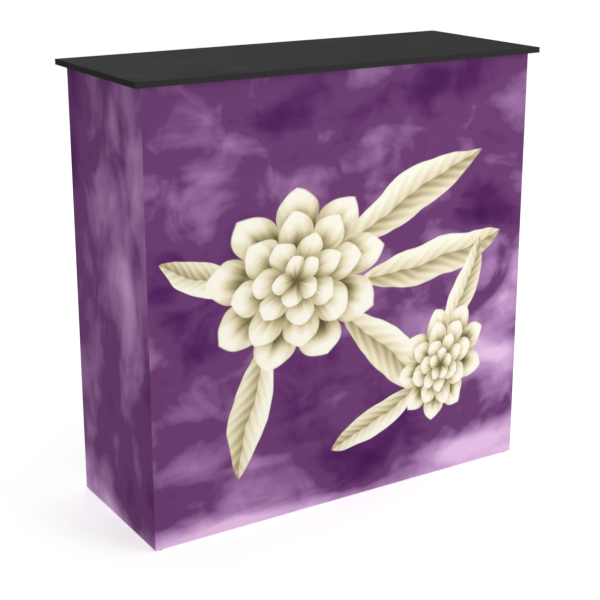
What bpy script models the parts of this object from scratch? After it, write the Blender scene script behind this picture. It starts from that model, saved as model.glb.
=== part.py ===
"""Backlit exhibition counter.

An aluminium push-fit frame holds a printed fabric wrap on its front and two sides.
White liners stand a rail's width behind the fabric, and bars of lensed lamps on the
bottom rails light the space between. A worktop on dowels lifts off, one shelf divides
the inside, and two doors close the back: one with a bolt that shoots up into the
frame, the other with a cam lock that turns behind its neighbour.

Metres, +Z up. X runs along the counter, the public side faces -Y, and the origin is
the middle of the footprint on the floor.
"""

import math

import bmesh
import bpy
from mathutils import Matrix, Vector

# Overall sizes
TOTAL_HEIGHT = 1.016
BODY_WIDTH = 0.989
BODY_DEPTH = 0.370

# Clearances and construction values
SEAT_GAP = 0.0003  # between two pieces that touch
CUT_OVERRUN = 0.002  # how far a cutter passes the face that it opens
WELD = 0.00001

# Worktop and its dowels
WORKTOP_WIDTH = 1.028
WORKTOP_DEPTH = 0.405
WORKTOP_THICKNESS = 0.0125
BOARD_EDGE_RADIUS = 0.0006
DOWEL_RADIUS = 0.004
DOWEL_IN_WORKTOP = 0.008
DOWEL_IN_BLOCK = 0.012
DOWEL_TAPER = 0.001

# Fabric wrap and the silicone bead sewn along its hem
FABRIC_THICKNESS = 0.001
BEAD_WIDTH = 0.003
BEAD_DEPTH = 0.0115
BEAD_CLEARANCE = 0.0003

# Frame extrusion
RAIL_SIZE = 0.030
RAIL_WALL = 0.002
RAIL_CHAMFER = 0.0006
GROOVE_LIP = 0.0025  # wall between the bead's groove and the outer face

# Corner blocks
SPIGOT_LENGTH = 0.025
SPIGOT_CLEARANCE = 0.0003
SPIGOT_LEAD = 0.003  # tapered end of a spigot
SPIGOT_LEAD_INSET = 0.001

# Feet
FOOT_HEIGHT = 0.003
FOOT_RADIUS = 0.013
FOOT_EDGE = 0.001
FOOT_STEM_RADIUS = 0.004
FOOT_STEM_LENGTH = 0.012
STEM_CLEARANCE = 0.0003

# Deck, the floor board inside
DECK_THICKNESS = 0.006
DECK_BEARING = 0.008  # how far the deck lies on a bottom rail
DECK_NOTCH_CLEARANCE = 0.001
DECK_DOOR_CLEARANCE = 0.003
DECK_REBATE_DEPTH = 0.0015  # the liners stand in this rebate along the edges
DECK_REBATE_CLEARANCE = 0.0005

# Liners, the white boards that close the lit space
LINER_THICKNESS = 0.003
LINER_LAP = 0.012  # how far a liner laps a top rail
LINER_DOOR_CLEARANCE = 0.003
LINER_NOTCH_CLEARANCE = 0.001

# Shelf and the angles that carry it
SHELF_TOP = 0.500
SHELF_THICKNESS = 0.012
SHELF_SIDE_CLEARANCE = 0.001
SHELF_FRONT_CLEARANCE = 0.002
SHELF_DOOR_CLEARANCE = 0.012
ANGLE_LEG = 0.020
ANGLE_WALL = 0.002
ANGLE_END_CLEARANCE = 0.004

# Doors
DOOR_THICKNESS = 0.012
DOOR_GAP = 0.002

# Continuous hinges
HINGE_END_MARGIN = 0.0041  # from a hinge's end to its door's
HINGE_LEAF_WIDTH = 0.018
HINGE_LEAF_THICKNESS = 0.0012
HINGE_KNUCKLE_RADIUS = 0.0026
HINGE_PIN_RADIUS = 0.0013
HINGE_KNUCKLES = 19
HINGE_CLEARANCE = 0.0003

# Knobs
KNOB_RADIUS = 0.013
KNOB_HEIGHT = 0.016
KNOB_NECK_RADIUS = 0.006
KNOB_BASE_RADIUS = 0.009
KNOB_BASE_THICKNESS = 0.002
KNOB_HEAD_THICKNESS = 0.007
KNOB_ABOVE_FLOOR = 0.600
KNOB_EDGE_DISTANCE = 0.045

# Cam lock
LOCK_FLANGE_RADIUS = 0.011
LOCK_FLANGE_THICKNESS = 0.0015
LOCK_BARREL_RADIUS = 0.0095
LOCK_BARREL_PROUD = 0.0007  # how far the barrel stands out of the door's inner face
LOCK_PLUG_RADIUS = 0.006
LOCK_PLUG_SUNK = 0.0003
LOCK_CLEARANCE = 0.0003
KEYWAY_WIDTH = 0.0016
KEYWAY_LENGTH = 0.008
KEYWAY_DEPTH = 0.004
LOCK_ABOVE_FLOOR = 0.680
LOCK_EDGE_DISTANCE = 0.022
CAM_THICKNESS = 0.0025
CAM_ROOT_RADIUS = 0.009
CAM_TIP_RADIUS = 0.006
CAM_OVERLAP = 0.014  # how far the turned cam reaches behind the other door

# Slide bolt
BOLT_RADIUS = 0.003
BOLT_TRAVEL = 0.015
BOLT_CLEARANCE = 0.0003
BOLT_SETBACK = 0.003  # the drawn bolt's end, below the door's top edge
BOLT_EDGE_DISTANCE = 0.026
BOLT_TIP_CHAMFER = 0.001
BOLT_TAIL = 0.006  # length below the lower guide when drawn
BOLT_KNOB_RADIUS = 0.0025
BOLT_KNOB_LENGTH = 0.010
BOLT_KNOB_CLEARANCE = 0.0005
BOLT_PLATE_WIDTH = 0.022
BOLT_PLATE_THICKNESS = 0.0015
BOLT_PLATE_MARGIN = 0.004
GUIDE_HEIGHT = 0.010
GUIDE_WALL = 0.0022
GUIDE_ABOVE = 0.004  # from the upper guide's top to the drawn bolt's end

# Lamp bars, on the bottom rails between the fabric and the liners
LAMP_BAR_WIDTH = 0.016
LAMP_BAR_HEIGHT = 0.008
LAMP_BAR_CHAMFER = 0.001
LAMP_BAR_INSET = 0.003  # from the frame's outer face
LAMP_END_CLEARANCE = 0.010
LENS_RADIUS = 0.0055
LENS_RIM = 0.001  # straight part of a lens above the bar
LENS_CROWN = 0.003
LENS_ROOT = 0.001
LENS_PITCH = 0.060

# Lamp driver, hung under the deck behind the inlet
DRIVER_LENGTH = 0.150
DRIVER_DEPTH = 0.044
DRIVER_HEIGHT = 0.021
DRIVER_EDGE = 0.0015
DRIVER_EAR_LENGTH = 0.014
DRIVER_EAR_DEPTH = 0.022
DRIVER_EAR_THICKNESS = 0.002
DRIVER_EAR_HOLE_RADIUS = 0.0022

# Mains inlet with its rocker switch, in the back bottom rail
INLET_INSET = 0.133  # from the left bottom rail to the inlet's middle
INLET_FLANGE_LENGTH = 0.054
INLET_FLANGE_HEIGHT = 0.0275
INLET_FLANGE_THICKNESS = 0.002
INLET_FLANGE_CORNER = 0.003
INLET_BODY_LENGTH = 0.046
INLET_BODY_HEIGHT = 0.0215
INLET_BODY_DEPTH = 0.037
INLET_CLEARANCE = 0.0003
SOCKET_LENGTH = 0.0245
SOCKET_HEIGHT = 0.0165
SOCKET_CORNER = 0.004
SOCKET_DEPTH = 0.015
SOCKET_SHIFT = 0.0085  # from the flange's middle
CONTACT_LENGTH = 0.010
CONTACT_WIDTH = 0.002
CONTACT_HEIGHT = 0.004
CONTACT_SPACING = 0.007
CONTACT_LIFT = 0.002
ROCKER_WIDTH = 0.0124
ROCKER_HALF_HEIGHT = 0.0075
ROCKER_RISE = 0.0015  # its face above the pivot, at the middle
ROCKER_DROP = 0.005
ROCKER_FOOT_HALF = 0.004
ROCKER_TILT = math.radians(8)
ROCKER_PIVOT_DEPTH = 0.0005  # the pivot below the flange's face
ROCKER_SHIFT = 0.0145
ROCKER_CLEARANCE = 0.0003
ROCKER_END_CLEARANCE = 0.0008
ROCKER_WELL_DEPTH = 0.009

# Leads from the driver to the lamp bars
LEAD_RADIUS = 0.0015
LEAD_HOLE_RADIUS = 0.003
LEAD_RISE_INSET = 0.0155  # from the frame's outer face to where a lead rises
LEAD_DIP = 0.030  # length over which a lead drops to its hole
LEAD_BEND = 0.008  # reach of a bend on each side of its corner
LEAD_SPREAD = 0.006  # between leads at the plug
PLUG_LENGTH = 0.022
PLUG_DEPTH = 0.012
PLUG_HEIGHT = 0.008
BEND_STEPS = 4
LEAD_SIDES = 1  # subdivisions of a quarter of a lead's section

# Facets
ROUND_SIDES = 20
FINE_SIDES = 28
HINGE_SIDES = 12
LENS_SIDES = 8
ARC_STEPS = 6

# Planes worked out from the sizes above
HALF_RAIL = RAIL_SIZE / 2
FRAME_SIDE = BODY_WIDTH / 2 - FABRIC_THICKNESS - SEAT_GAP
FRAME_FRONT = -BODY_DEPTH / 2 + FABRIC_THICKNESS + SEAT_GAP
FRAME_BACK = BODY_DEPTH / 2
FRAME_BOTTOM = FOOT_HEIGHT
WORKTOP_UNDERSIDE = TOTAL_HEIGHT - WORKTOP_THICKNESS
FRAME_TOP = WORKTOP_UNDERSIDE - SEAT_GAP
INSIDE_SIDE = FRAME_SIDE - RAIL_SIZE
INSIDE_FRONT = FRAME_FRONT + RAIL_SIZE
INSIDE_BACK = FRAME_BACK - RAIL_SIZE
INSIDE_BOTTOM = FRAME_BOTTOM + RAIL_SIZE
INSIDE_TOP = FRAME_TOP - RAIL_SIZE
MIDDLE_Y = (FRAME_FRONT + FRAME_BACK) / 2
MIDDLE_Z = (FRAME_BOTTOM + FRAME_TOP) / 2
RUN_X = 2 * (INSIDE_SIDE - SEAT_GAP)
RUN_Y = INSIDE_BACK - INSIDE_FRONT - 2 * SEAT_GAP
RUN_Z = INSIDE_TOP - INSIDE_BOTTOM - 2 * SEAT_GAP

# The bead's groove, measured in from the outer face and down from its mouth
REBATE = FABRIC_THICKNESS + SEAT_GAP
GROOVE_WIDTH = BEAD_WIDTH + 2 * BEAD_CLEARANCE
GROOVE_INNER = GROOVE_LIP + GROOVE_WIDTH
GROOVE_FLOOR = REBATE + BEAD_DEPTH + BEAD_CLEARANCE
HOLLOW_START = GROOVE_INNER + RAIL_WALL
RETURN_REACH = GROOVE_INNER - BEAD_CLEARANCE + SEAT_GAP

# Doors and what they carry
DOOR_INNER = FRAME_BACK - DOOR_THICKNESS
DOOR_BOTTOM = INSIDE_BOTTOM + DOOR_GAP
DOOR_TOP = INSIDE_TOP - DOOR_GAP
DOOR_HINGE_EDGE = INSIDE_SIDE - DOOR_GAP
DOOR_FREE_EDGE = DOOR_GAP / 2
HARDWARE_SEAT = FRAME_BACK + SEAT_GAP
HINGE_LENGTH = DOOR_TOP - DOOR_BOTTOM - 2 * HINGE_END_MARGIN
HINGE_X = INSIDE_SIDE - DOOR_GAP / 2
HINGE_Y = HARDWARE_SEAT + HINGE_KNUCKLE_RADIUS
LOCK_X = DOOR_FREE_EDGE + LOCK_EDGE_DISTANCE
BOLT_X = -DOOR_FREE_EDGE - BOLT_EDGE_DISTANCE
BOLT_PLATE_Y = DOOR_INNER - SEAT_GAP
BOLT_Y = BOLT_PLATE_Y - BOLT_PLATE_THICKNESS - BOLT_CLEARANCE - BOLT_RADIUS
BOLT_END = DOOR_TOP - BOLT_SETBACK
LINER_SIDE = INSIDE_SIDE - SEAT_GAP - LINER_THICKNESS
LINER_FRONT = INSIDE_FRONT + SEAT_GAP + LINER_THICKNESS
DECK_UNDERSIDE = INSIDE_BOTTOM + SEAT_GAP
DECK_TOP = DECK_UNDERSIDE + DECK_THICKNESS
LINER_FOOT = DECK_TOP - DECK_REBATE_DEPTH + SEAT_GAP
RAIL_MIDDLE_Z = FRAME_BOTTOM + HALF_RAIL
LAMP_SEAT = INSIDE_BOTTOM + SEAT_GAP
INLET_X = INLET_INSET - INSIDE_SIDE
INLET_FACE = HARDWARE_SEAT + INLET_FLANGE_THICKNESS
INLET_BACK = HARDWARE_SEAT - INLET_BODY_DEPTH
DRIVER_BACK = INLET_BACK - SEAT_GAP
DRIVER_FRONT = DRIVER_BACK - DRIVER_DEPTH
LEAD_RUN_Z = DECK_UNDERSIDE - SEAT_GAP - LEAD_RADIUS
SHELF_FRONT = LINER_FRONT + SHELF_FRONT_CLEARANCE
SHELF_BACK = DOOR_INNER - SHELF_DOOR_CLEARANCE
SHELF_UNDERSIDE = SHELF_TOP - SHELF_THICKNESS

LEFT_RIGHT = {"left": -1, "right": 1}
FRONT_BACK = {"front": -1, "back": 1}
BOTTOM_TOP = {"bottom": -1, "top": 1}
DOWELS = {"front_left": (-1, -1), "back_right": (1, 1)}


def linear(hex_colour):
    """A linear RGBA colour from an sRGB hex string."""
    channels = [int(hex_colour[i : i + 2], 16) / 255 for i in (0, 2, 4)]
    bent = [c / 12.92 if c <= 0.04045 else ((c + 0.055) / 1.055) ** 2.4 for c in channels]
    return (*bent, 1.0)


def finish(name, hex_colour, roughness, metallic=0.0):
    """A plain surface finish."""
    made = bpy.data.materials.new(name)
    made.use_nodes = True
    shader = made.node_tree.nodes["Principled BSDF"]
    shader.inputs["Base Color"].default_value = linear(hex_colour)
    shader.inputs["Roughness"].default_value = roughness
    shader.inputs["Metallic"].default_value = metallic
    made.diffuse_color = linear(hex_colour)
    return made


def mesh_from(bm, smooth=False):
    """Turn a bmesh into a mesh, with round surfaces shaded smooth if asked."""
    bmesh.ops.recalc_face_normals(bm, faces=bm.faces)
    mesh = bpy.data.meshes.new("shape")
    bm.to_mesh(mesh)
    bm.free()
    if smooth:
        mesh.shade_smooth()
        mesh.set_sharp_from_angle(angle=math.radians(35))
    return mesh


def node(name, mesh, material, place, turn=None, parent=None):
    """Add one named piece. Its place is in the world, also where it has a parent."""
    piece = bpy.data.objects.new(name, mesh)
    bpy.context.collection.objects.link(piece)
    if not mesh.materials:
        mesh.materials.append(material)
    if parent is not None:
        piece.parent = parent
        place = Vector(place) - parent.location
    piece.location = place
    if turn is not None:
        piece.rotation_euler = turn.to_euler()
    return piece


def pivot(name, place, parent=None):
    """An empty on a joint's axis, which the moving pieces hang from."""
    empty = bpy.data.objects.new(name, None)
    bpy.context.collection.objects.link(empty)
    empty.location = place
    if parent is not None:
        empty.parent = parent
        empty.matrix_parent_inverse = Matrix.Translation(-parent.location)
    return empty


def combined(mesh, tools, operation):
    """The mesh after an exact Boolean with each tool mesh in turn."""
    base = bpy.data.objects.new("base", mesh)
    bpy.context.collection.objects.link(base)
    helpers = []
    for tool in tools:
        helper = bpy.data.objects.new("helper", tool)
        bpy.context.collection.objects.link(helper)
        helpers.append(helper)
        step = base.modifiers.new("combine", "BOOLEAN")
        step.operation = operation
        step.solver = "EXACT"
        step.object = helper
    ready = base.evaluated_get(bpy.context.evaluated_depsgraph_get())
    result = bpy.data.meshes.new_from_object(ready)
    for item in [base, *helpers]:
        bpy.data.objects.remove(item)
    return result


def moved(mesh, offset, turn=None):
    """Shift a mesh after an optional turn, in place."""
    rotation = turn.to_4x4() if turn is not None else Matrix.Identity(4)
    mesh.transform(Matrix.Translation(offset) @ rotation)
    return mesh


def cut_in_place(mesh, place, turn, tools):
    """Cut a mesh that will stand at a place and turn with tools drawn in the world."""
    home = Matrix.Translation(-Vector(place))
    if turn is not None:
        home = turn.inverted().to_4x4() @ home
    for tool in tools:
        tool.transform(home)
    return combined(mesh, tools, "DIFFERENCE")


def block_bmesh(size):
    """A bmesh box centred on the origin."""
    bm = bmesh.new()
    bmesh.ops.create_cube(bm, size=1, matrix=Matrix.Diagonal((*size, 1)))
    return bm


def board(size, radius=BOARD_EDGE_RADIUS):
    """A flat board with its edges eased."""
    bm = block_bmesh(size)
    bmesh.ops.bevel(
        bm,
        geom=bm.edges[:],
        offset=radius,
        segments=1,
        profile=0.5,
        affect="EDGES",
        material=-1,
    )
    return mesh_from(bm)


def prism(loops, length):
    """A bar along local Z whose section is drawn in XY: the outline, then its holes."""
    bm = bmesh.new()
    edges = []
    for loop in loops:
        corners = [bm.verts.new((x, y, -length / 2)) for x, y in loop]
        edges += [bm.edges.new(pair) for pair in zip(corners, corners[1:] + corners[:1])]
    filled = bmesh.ops.triangle_fill(bm, edges=edges, use_beauty=True, use_dissolve=False)
    faces = [part for part in filled["geom"] if isinstance(part, bmesh.types.BMFace)]
    raised = bmesh.ops.extrude_face_region(bm, geom=faces)
    ends = [part for part in raised["geom"] if isinstance(part, bmesh.types.BMVert)]
    bmesh.ops.translate(bm, verts=ends, vec=(0, 0, length))
    return mesh_from(bm)


def rod(radius, length, sides=ROUND_SIDES, chamfer=0.0):
    """A round bar centred on local Z, its ends chamfered if asked."""
    half = length / 2
    outline = [(0, -half), (radius - chamfer, -half), (radius, chamfer - half)]
    if not chamfer:
        outline = outline[:2]
    outline += [(across, -along) for across, along in reversed(outline)]
    return turned(outline, sides)


def turned(outline, sides=ROUND_SIDES):
    """A solid turned about local Z from (radius, height) points.

    An outline that starts and ends on the axis gives a solid piece, and one that stays
    off the axis is closed on itself and gives a ring.
    """
    bm = bmesh.new()
    corners = [bm.verts.new((radius, 0, height)) for radius, height in outline]
    edges = [bm.edges.new(pair) for pair in zip(corners, corners[1:])]
    if min(radius for radius, _ in outline) > 0:
        edges.append(bm.edges.new((corners[-1], corners[0])))
    bmesh.ops.spin(
        bm,
        geom=corners + edges,
        cent=(0, 0, 0),
        axis=(0, 0, 1),
        angle=2 * math.pi,
        steps=sides,
        use_merge=True,
    )
    bmesh.ops.remove_doubles(bm, verts=bm.verts, dist=WELD)
    return mesh_from(bm, smooth=True)


def slice_bmesh(bm, axis, position):
    """Cut every face where the axis takes the given position."""
    normal = Vector((0, 0, 0))
    normal[axis] = 1
    everything = bm.verts[:] + bm.edges[:] + bm.faces[:]
    bmesh.ops.bisect_plane(bm, geom=everything, plane_co=normal * position, plane_no=normal)


def faces_on(bm, axis, position, ranges):
    """Faces in the plane where the axis takes the position, inside {axis: (low, high)}."""
    found = []
    for face in bm.faces:
        flat = all(abs(corner.co[axis] - position) < WELD for corner in face.verts)
        middle = face.calc_center_median()
        inside = all(low < middle[other] < high for other, (low, high) in ranges.items())
        if flat and inside:
            found.append(face)
    return found


def grow(bm, faces, offset, inset=0.0):
    """Extrude faces of a closed bmesh by an offset, drawing the new end in if asked."""
    raised = bmesh.ops.extrude_face_region(bm, geom=faces)
    ends = [part for part in raised["geom"] if isinstance(part, bmesh.types.BMVert)]
    bmesh.ops.delete(bm, geom=faces, context="FACES")
    bmesh.ops.translate(bm, verts=ends, vec=offset)
    middle = sum((corner.co for corner in ends), Vector()) / len(ends)
    for corner in ends:
        for axis in range(3):
            away = corner.co[axis] - middle[axis]
            if abs(away) > inset:
                corner.co[axis] -= math.copysign(inset, away)


def plain_section():
    """A square tube with eased outer corners."""
    near = HALF_RAIL - RAIL_CHAMFER
    outline = [
        (-near, -HALF_RAIL),
        (near, -HALF_RAIL),
        (HALF_RAIL, -near),
        (HALF_RAIL, near),
        (near, HALF_RAIL),
        (-near, HALF_RAIL),
        (-HALF_RAIL, near),
        (-HALF_RAIL, -near),
    ]
    bore = HALF_RAIL - RAIL_WALL
    return [outline, [(-bore, -bore), (bore, -bore), (bore, bore), (-bore, bore)]]


def grooved_section():
    """A square tube with a bead groove. Local +X is its outer face, and the groove opens to +Y.

    The outer lip is lower than the rest by the rebate that the hem of the fabric fills.
    """
    near = HALF_RAIL - RAIL_CHAMFER
    lip = HALF_RAIL - GROOVE_LIP
    inner = HALF_RAIL - GROOVE_INNER
    outline = [
        (HALF_RAIL, -HALF_RAIL),
        (HALF_RAIL, HALF_RAIL - REBATE),
        (lip, HALF_RAIL - REBATE),
        (lip, HALF_RAIL - GROOVE_FLOOR),
        (inner, HALF_RAIL - GROOVE_FLOOR),
        (inner, HALF_RAIL),
        (-near, HALF_RAIL),
        (-HALF_RAIL, near),
        (-HALF_RAIL, -near),
        (-near, -HALF_RAIL),
    ]
    bore = HALF_RAIL - RAIL_WALL
    start = HALF_RAIL - HOLLOW_START
    return [outline, [(start, -bore), (start, bore), (-bore, bore), (-bore, -bore)]]


def axes(outward, mouth):
    """The turn that takes local X to the outer side and local Y to the groove's mouth."""
    outward = Vector(outward)
    mouth = Vector(mouth)
    return Matrix((outward, mouth, outward.cross(mouth))).transposed()


def strike_hole():
    """The hole in the back top rail that the bolt enters."""
    hole = rod(BOLT_RADIUS + BOLT_CLEARANCE + SEAT_GAP, RAIL_WALL + 2 * CUT_OVERRUN)
    return moved(hole, (BOLT_X, BOLT_Y, INSIDE_TOP + RAIL_WALL / 2))


def inlet_hole():
    """The cut-out through the back bottom rail for the mains inlet."""
    length = INLET_BODY_LENGTH + 2 * INLET_CLEARANCE
    height = INLET_BODY_HEIGHT + 2 * INLET_CLEARANCE
    hole = mesh_from(block_bmesh((length, RAIL_SIZE + 2 * CUT_OVERRUN, height)))
    return moved(hole, (INLET_X, FRAME_BACK - HALF_RAIL, RAIL_MIDDLE_Z))


def lead_holes(outward, middle, along):
    """Two holes in a bottom rail: one where a lead enters from inside, one where it rises."""
    outward = Vector(outward)
    sideways = Matrix.Rotation(math.pi / 2, 3, "Y" if outward.x else "X")
    length = RAIL_WALL + 2 * CUT_OVERRUN
    entry = Vector(along) + middle - outward * (HALF_RAIL - RAIL_WALL / 2)
    rise = Vector(along) + middle + outward * (HALF_RAIL - LEAD_RISE_INSET)
    rise.z += HALF_RAIL - RAIL_WALL / 2
    holes = [moved(rod(LEAD_HOLE_RADIUS, length), entry, sideways)]
    holes.append(moved(rod(LEAD_HOLE_RADIUS, length), rise))
    return holes


def build_rails(aluminium):
    """Eight rails between the corner blocks, grooved on the three covered sides."""
    side_y = FRAME_SIDE - HALF_RAIL
    for level, up in BOTTOM_TOP.items():
        z = MIDDLE_Z + up * ((FRAME_TOP - FRAME_BOTTOM) / 2 - HALF_RAIL)
        front = Vector((0, FRAME_FRONT + HALF_RAIL, z))
        back = Vector((0, FRAME_BACK - HALF_RAIL, z))
        turn = axes((0, -1, 0), (0, 0, up))
        rail = prism(grooved_section(), RUN_X)
        if level == "bottom":
            holes = lead_holes((0, -1, 0), front, (INLET_X, 0, 0))
            rail = cut_in_place(rail, front, turn, holes)
        node(f"rail_{level}_front", rail, aluminium, front, turn)
        turn = axes((0, 1, 0), (0, 0, 1))
        hole = strike_hole() if level == "top" else inlet_hole()
        rail = cut_in_place(prism(plain_section(), RUN_X), back, turn, [hole])
        node(f"rail_{level}_back", rail, aluminium, back, turn)
        for side, sign in LEFT_RIGHT.items():
            turn = axes((sign, 0, 0), (0, 0, up))
            place = Vector((sign * side_y, MIDDLE_Y, z))
            rail = prism(grooved_section(), RUN_Y)
            if level == "bottom":
                holes = lead_holes((sign, 0, 0), place, (0, lead_side_y() - MIDDLE_Y, 0))
                rail = cut_in_place(rail, place, turn, holes)
            node(f"rail_{level}_{side}", rail, aluminium, place, turn)


def build_posts(aluminium):
    """Four posts: plain at the front, with a groove that opens to the back behind."""
    for side, sign in LEFT_RIGHT.items():
        x = sign * (FRAME_SIDE - HALF_RAIL)
        front = (x, FRAME_FRONT + HALF_RAIL, MIDDLE_Z)
        back = (x, FRAME_BACK - HALF_RAIL, MIDDLE_Z)
        node(f"post_front_{side}", prism(plain_section(), RUN_Z), aluminium, front)
        turn = axes((sign, 0, 0), (0, 1, 0))
        node(f"post_back_{side}", prism(grooved_section(), RUN_Z), aluminium, back, turn)


def spigot_ranges(axis, signs):
    """Where a spigot along an axis fits in its tube, as {other axis: (low, high)}.

    The tube's hollow starts further in on the side that has the bead groove.
    """
    back = signs[1] > 0
    grooved = {0: None if back else 1, 1: 0, 2: 0 if back else None}[axis]
    ranges = {}
    for other in range(3):
        if other == axis:
            continue
        start = HOLLOW_START if other == grooved else RAIL_WALL
        near = signs[other] * (HALF_RAIL - start - SPIGOT_CLEARANCE)
        far = -signs[other] * (HALF_RAIL - RAIL_WALL - SPIGOT_CLEARANCE)
        ranges[other] = (min(near, far), max(near, far))
    return ranges


def spigot(axis, signs):
    """A tapered bar that starts inside the block and reaches into the tube along one axis."""
    spans = spigot_ranges(axis, signs)
    length = SPIGOT_LENGTH + RAIL_WALL - SPIGOT_LEAD
    size = Vector((length, length, length))
    middle = Vector((0, 0, 0))
    for other, (low, high) in spans.items():
        size[other] = high - low
        middle[other] = (high + low) / 2
    middle[axis] = -signs[axis] * (HALF_RAIL - RAIL_WALL + length / 2)
    bm = block_bmesh(size)
    bmesh.ops.translate(bm, verts=bm.verts, vec=middle)
    inward = Vector((0, 0, 0))
    inward[axis] = -signs[axis] * SPIGOT_LEAD
    end = faces_on(bm, axis, middle[axis] - signs[axis] * length / 2, spans)
    grow(bm, end, inward, SPIGOT_LEAD_INSET)
    return mesh_from(bm)


def corner_path(low, high):
    """An L in plan round a block's outer corner, as distances in from its two outer faces."""
    far = RAIL_SIZE + CUT_OVERRUN
    return [(low, low), (far, low), (far, high), (high, high), (high, far), (low, far)]


def groove_cutters(signs):
    """What carries the bead's groove and the hem's rebate round a front block."""
    cutters = []
    for low, depth in ((GROOVE_LIP, GROOVE_FLOOR), (-CUT_OVERRUN, REBATE)):
        path = corner_path(low, GROOVE_INNER)
        plan = [(signs[0] * (HALF_RAIL - x), y - HALF_RAIL) for x, y in path]
        cutter = prism([plan], depth + CUT_OVERRUN)
        middle = signs[2] * (HALF_RAIL - (depth - CUT_OVERRUN) / 2)
        cutters.append(moved(cutter, (0, 0, middle)))
    return cutters


def corner_block(signs, drills):
    """A three-way block: a drilled cube with a spigot for each tube that meets it."""
    cube = mesh_from(block_bmesh((RAIL_SIZE, RAIL_SIZE, RAIL_SIZE)))
    spigots = [spigot(axis, signs) for axis in range(3)]
    cutters = list(drills)
    if signs[1] < 0:
        cutters += groove_cutters(signs)
    return combined(combined(cube, spigots, "UNION"), cutters, "DIFFERENCE")


def block_drill(radius, depth, up):
    """A cutter for a hole in a block's top or bottom face."""
    drill = rod(radius + STEM_CLEARANCE, depth + STEM_CLEARANCE + CUT_OVERRUN)
    return moved(drill, (0, 0, up * (HALF_RAIL - (depth + STEM_CLEARANCE - CUT_OVERRUN) / 2)))


def build_corners(alloy, pad):
    """Eight corner blocks, with a foot in each of the lower ones."""
    foot_outline = [
        (0, 0),
        (FOOT_RADIUS - FOOT_EDGE, 0),
        (FOOT_RADIUS, FOOT_EDGE),
        (FOOT_RADIUS, FOOT_HEIGHT - SEAT_GAP),
        (FOOT_STEM_RADIUS, FOOT_HEIGHT - SEAT_GAP),
        (FOOT_STEM_RADIUS, FOOT_HEIGHT + FOOT_STEM_LENGTH),
        (0, FOOT_HEIGHT + FOOT_STEM_LENGTH),
    ]
    foot = turned(foot_outline)
    for side, sign_x in LEFT_RIGHT.items():
        for face, sign_y in FRONT_BACK.items():
            x = sign_x * (FRAME_SIDE - HALF_RAIL)
            y = MIDDLE_Y + sign_y * ((FRAME_BACK - FRAME_FRONT) / 2 - HALF_RAIL)
            node(f"foot_{face}_{side}", foot, pad, (x, y, 0))
            drills = [block_drill(FOOT_STEM_RADIUS, FOOT_STEM_LENGTH, -1)]
            shape = corner_block((sign_x, sign_y, -1), drills)
            place = (x, y, FRAME_BOTTOM + HALF_RAIL)
            node(f"corner_block_bottom_{face}_{side}", shape, alloy, place)
            drills = []
            if f"{face}_{side}" in DOWELS:
                drills = [block_drill(DOWEL_RADIUS, DOWEL_IN_BLOCK, 1)]
            shape = corner_block((sign_x, sign_y, 1), drills)
            place = (x, y, FRAME_TOP - HALF_RAIL)
            node(f"corner_block_top_{face}_{side}", shape, alloy, place)


def dowel_place(signs):
    """Where a dowel stands in plan."""
    x = signs[0] * (FRAME_SIDE - HALF_RAIL)
    return x, MIDDLE_Y + signs[1] * ((FRAME_BACK - FRAME_FRONT) / 2 - HALF_RAIL)


def build_worktop(laminate, beech, top):
    """The slab, drilled from below, and the two dowels that are glued in it."""
    slab = board((WORKTOP_WIDTH, WORKTOP_DEPTH, WORKTOP_THICKNESS))
    depth = DOWEL_IN_WORKTOP + STEM_CLEARANCE
    dowel = rod(DOWEL_RADIUS, DOWEL_IN_WORKTOP + DOWEL_IN_BLOCK, chamfer=DOWEL_TAPER)
    dowel_z = WORKTOP_UNDERSIDE + (DOWEL_IN_WORKTOP - DOWEL_IN_BLOCK) / 2
    drills = []
    for corner, signs in DOWELS.items():
        x, y = dowel_place(signs)
        drill = rod(DOWEL_RADIUS + STEM_CLEARANCE, depth + CUT_OVERRUN)
        z = (depth - CUT_OVERRUN - WORKTOP_THICKNESS) / 2
        drills.append(moved(drill, (x, y, z)))
        node(f"worktop_dowel_{corner}", dowel, beech, (x, y, dowel_z), parent=top)
    slab = combined(slab, drills, "DIFFERENCE")
    middle = WORKTOP_UNDERSIDE + WORKTOP_THICKNESS / 2
    node("worktop", slab, laminate, (0, 0, middle), parent=top)


def fabric_panel(width, height, hems):
    """A stretched panel in local XZ with its hems turned in towards local +Y.

    Each hem is a strip of the inner face, given as ((low x, high x), (low z, high z)).
    """
    bm = block_bmesh((width, FABRIC_THICKNESS, height))
    for span_x, span_z in hems:
        for position in span_x:
            if abs(position) < width / 2 - WELD:
                slice_bmesh(bm, 0, position)
        for position in span_z:
            if abs(position) < height / 2 - WELD:
                slice_bmesh(bm, 2, position)
    for span_x, span_z in hems:
        strip = faces_on(bm, 1, FABRIC_THICKNESS / 2, {0: span_x, 2: span_z})
        grow(bm, strip, (0, RETURN_REACH, 0))
    return mesh_from(bm)


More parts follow.
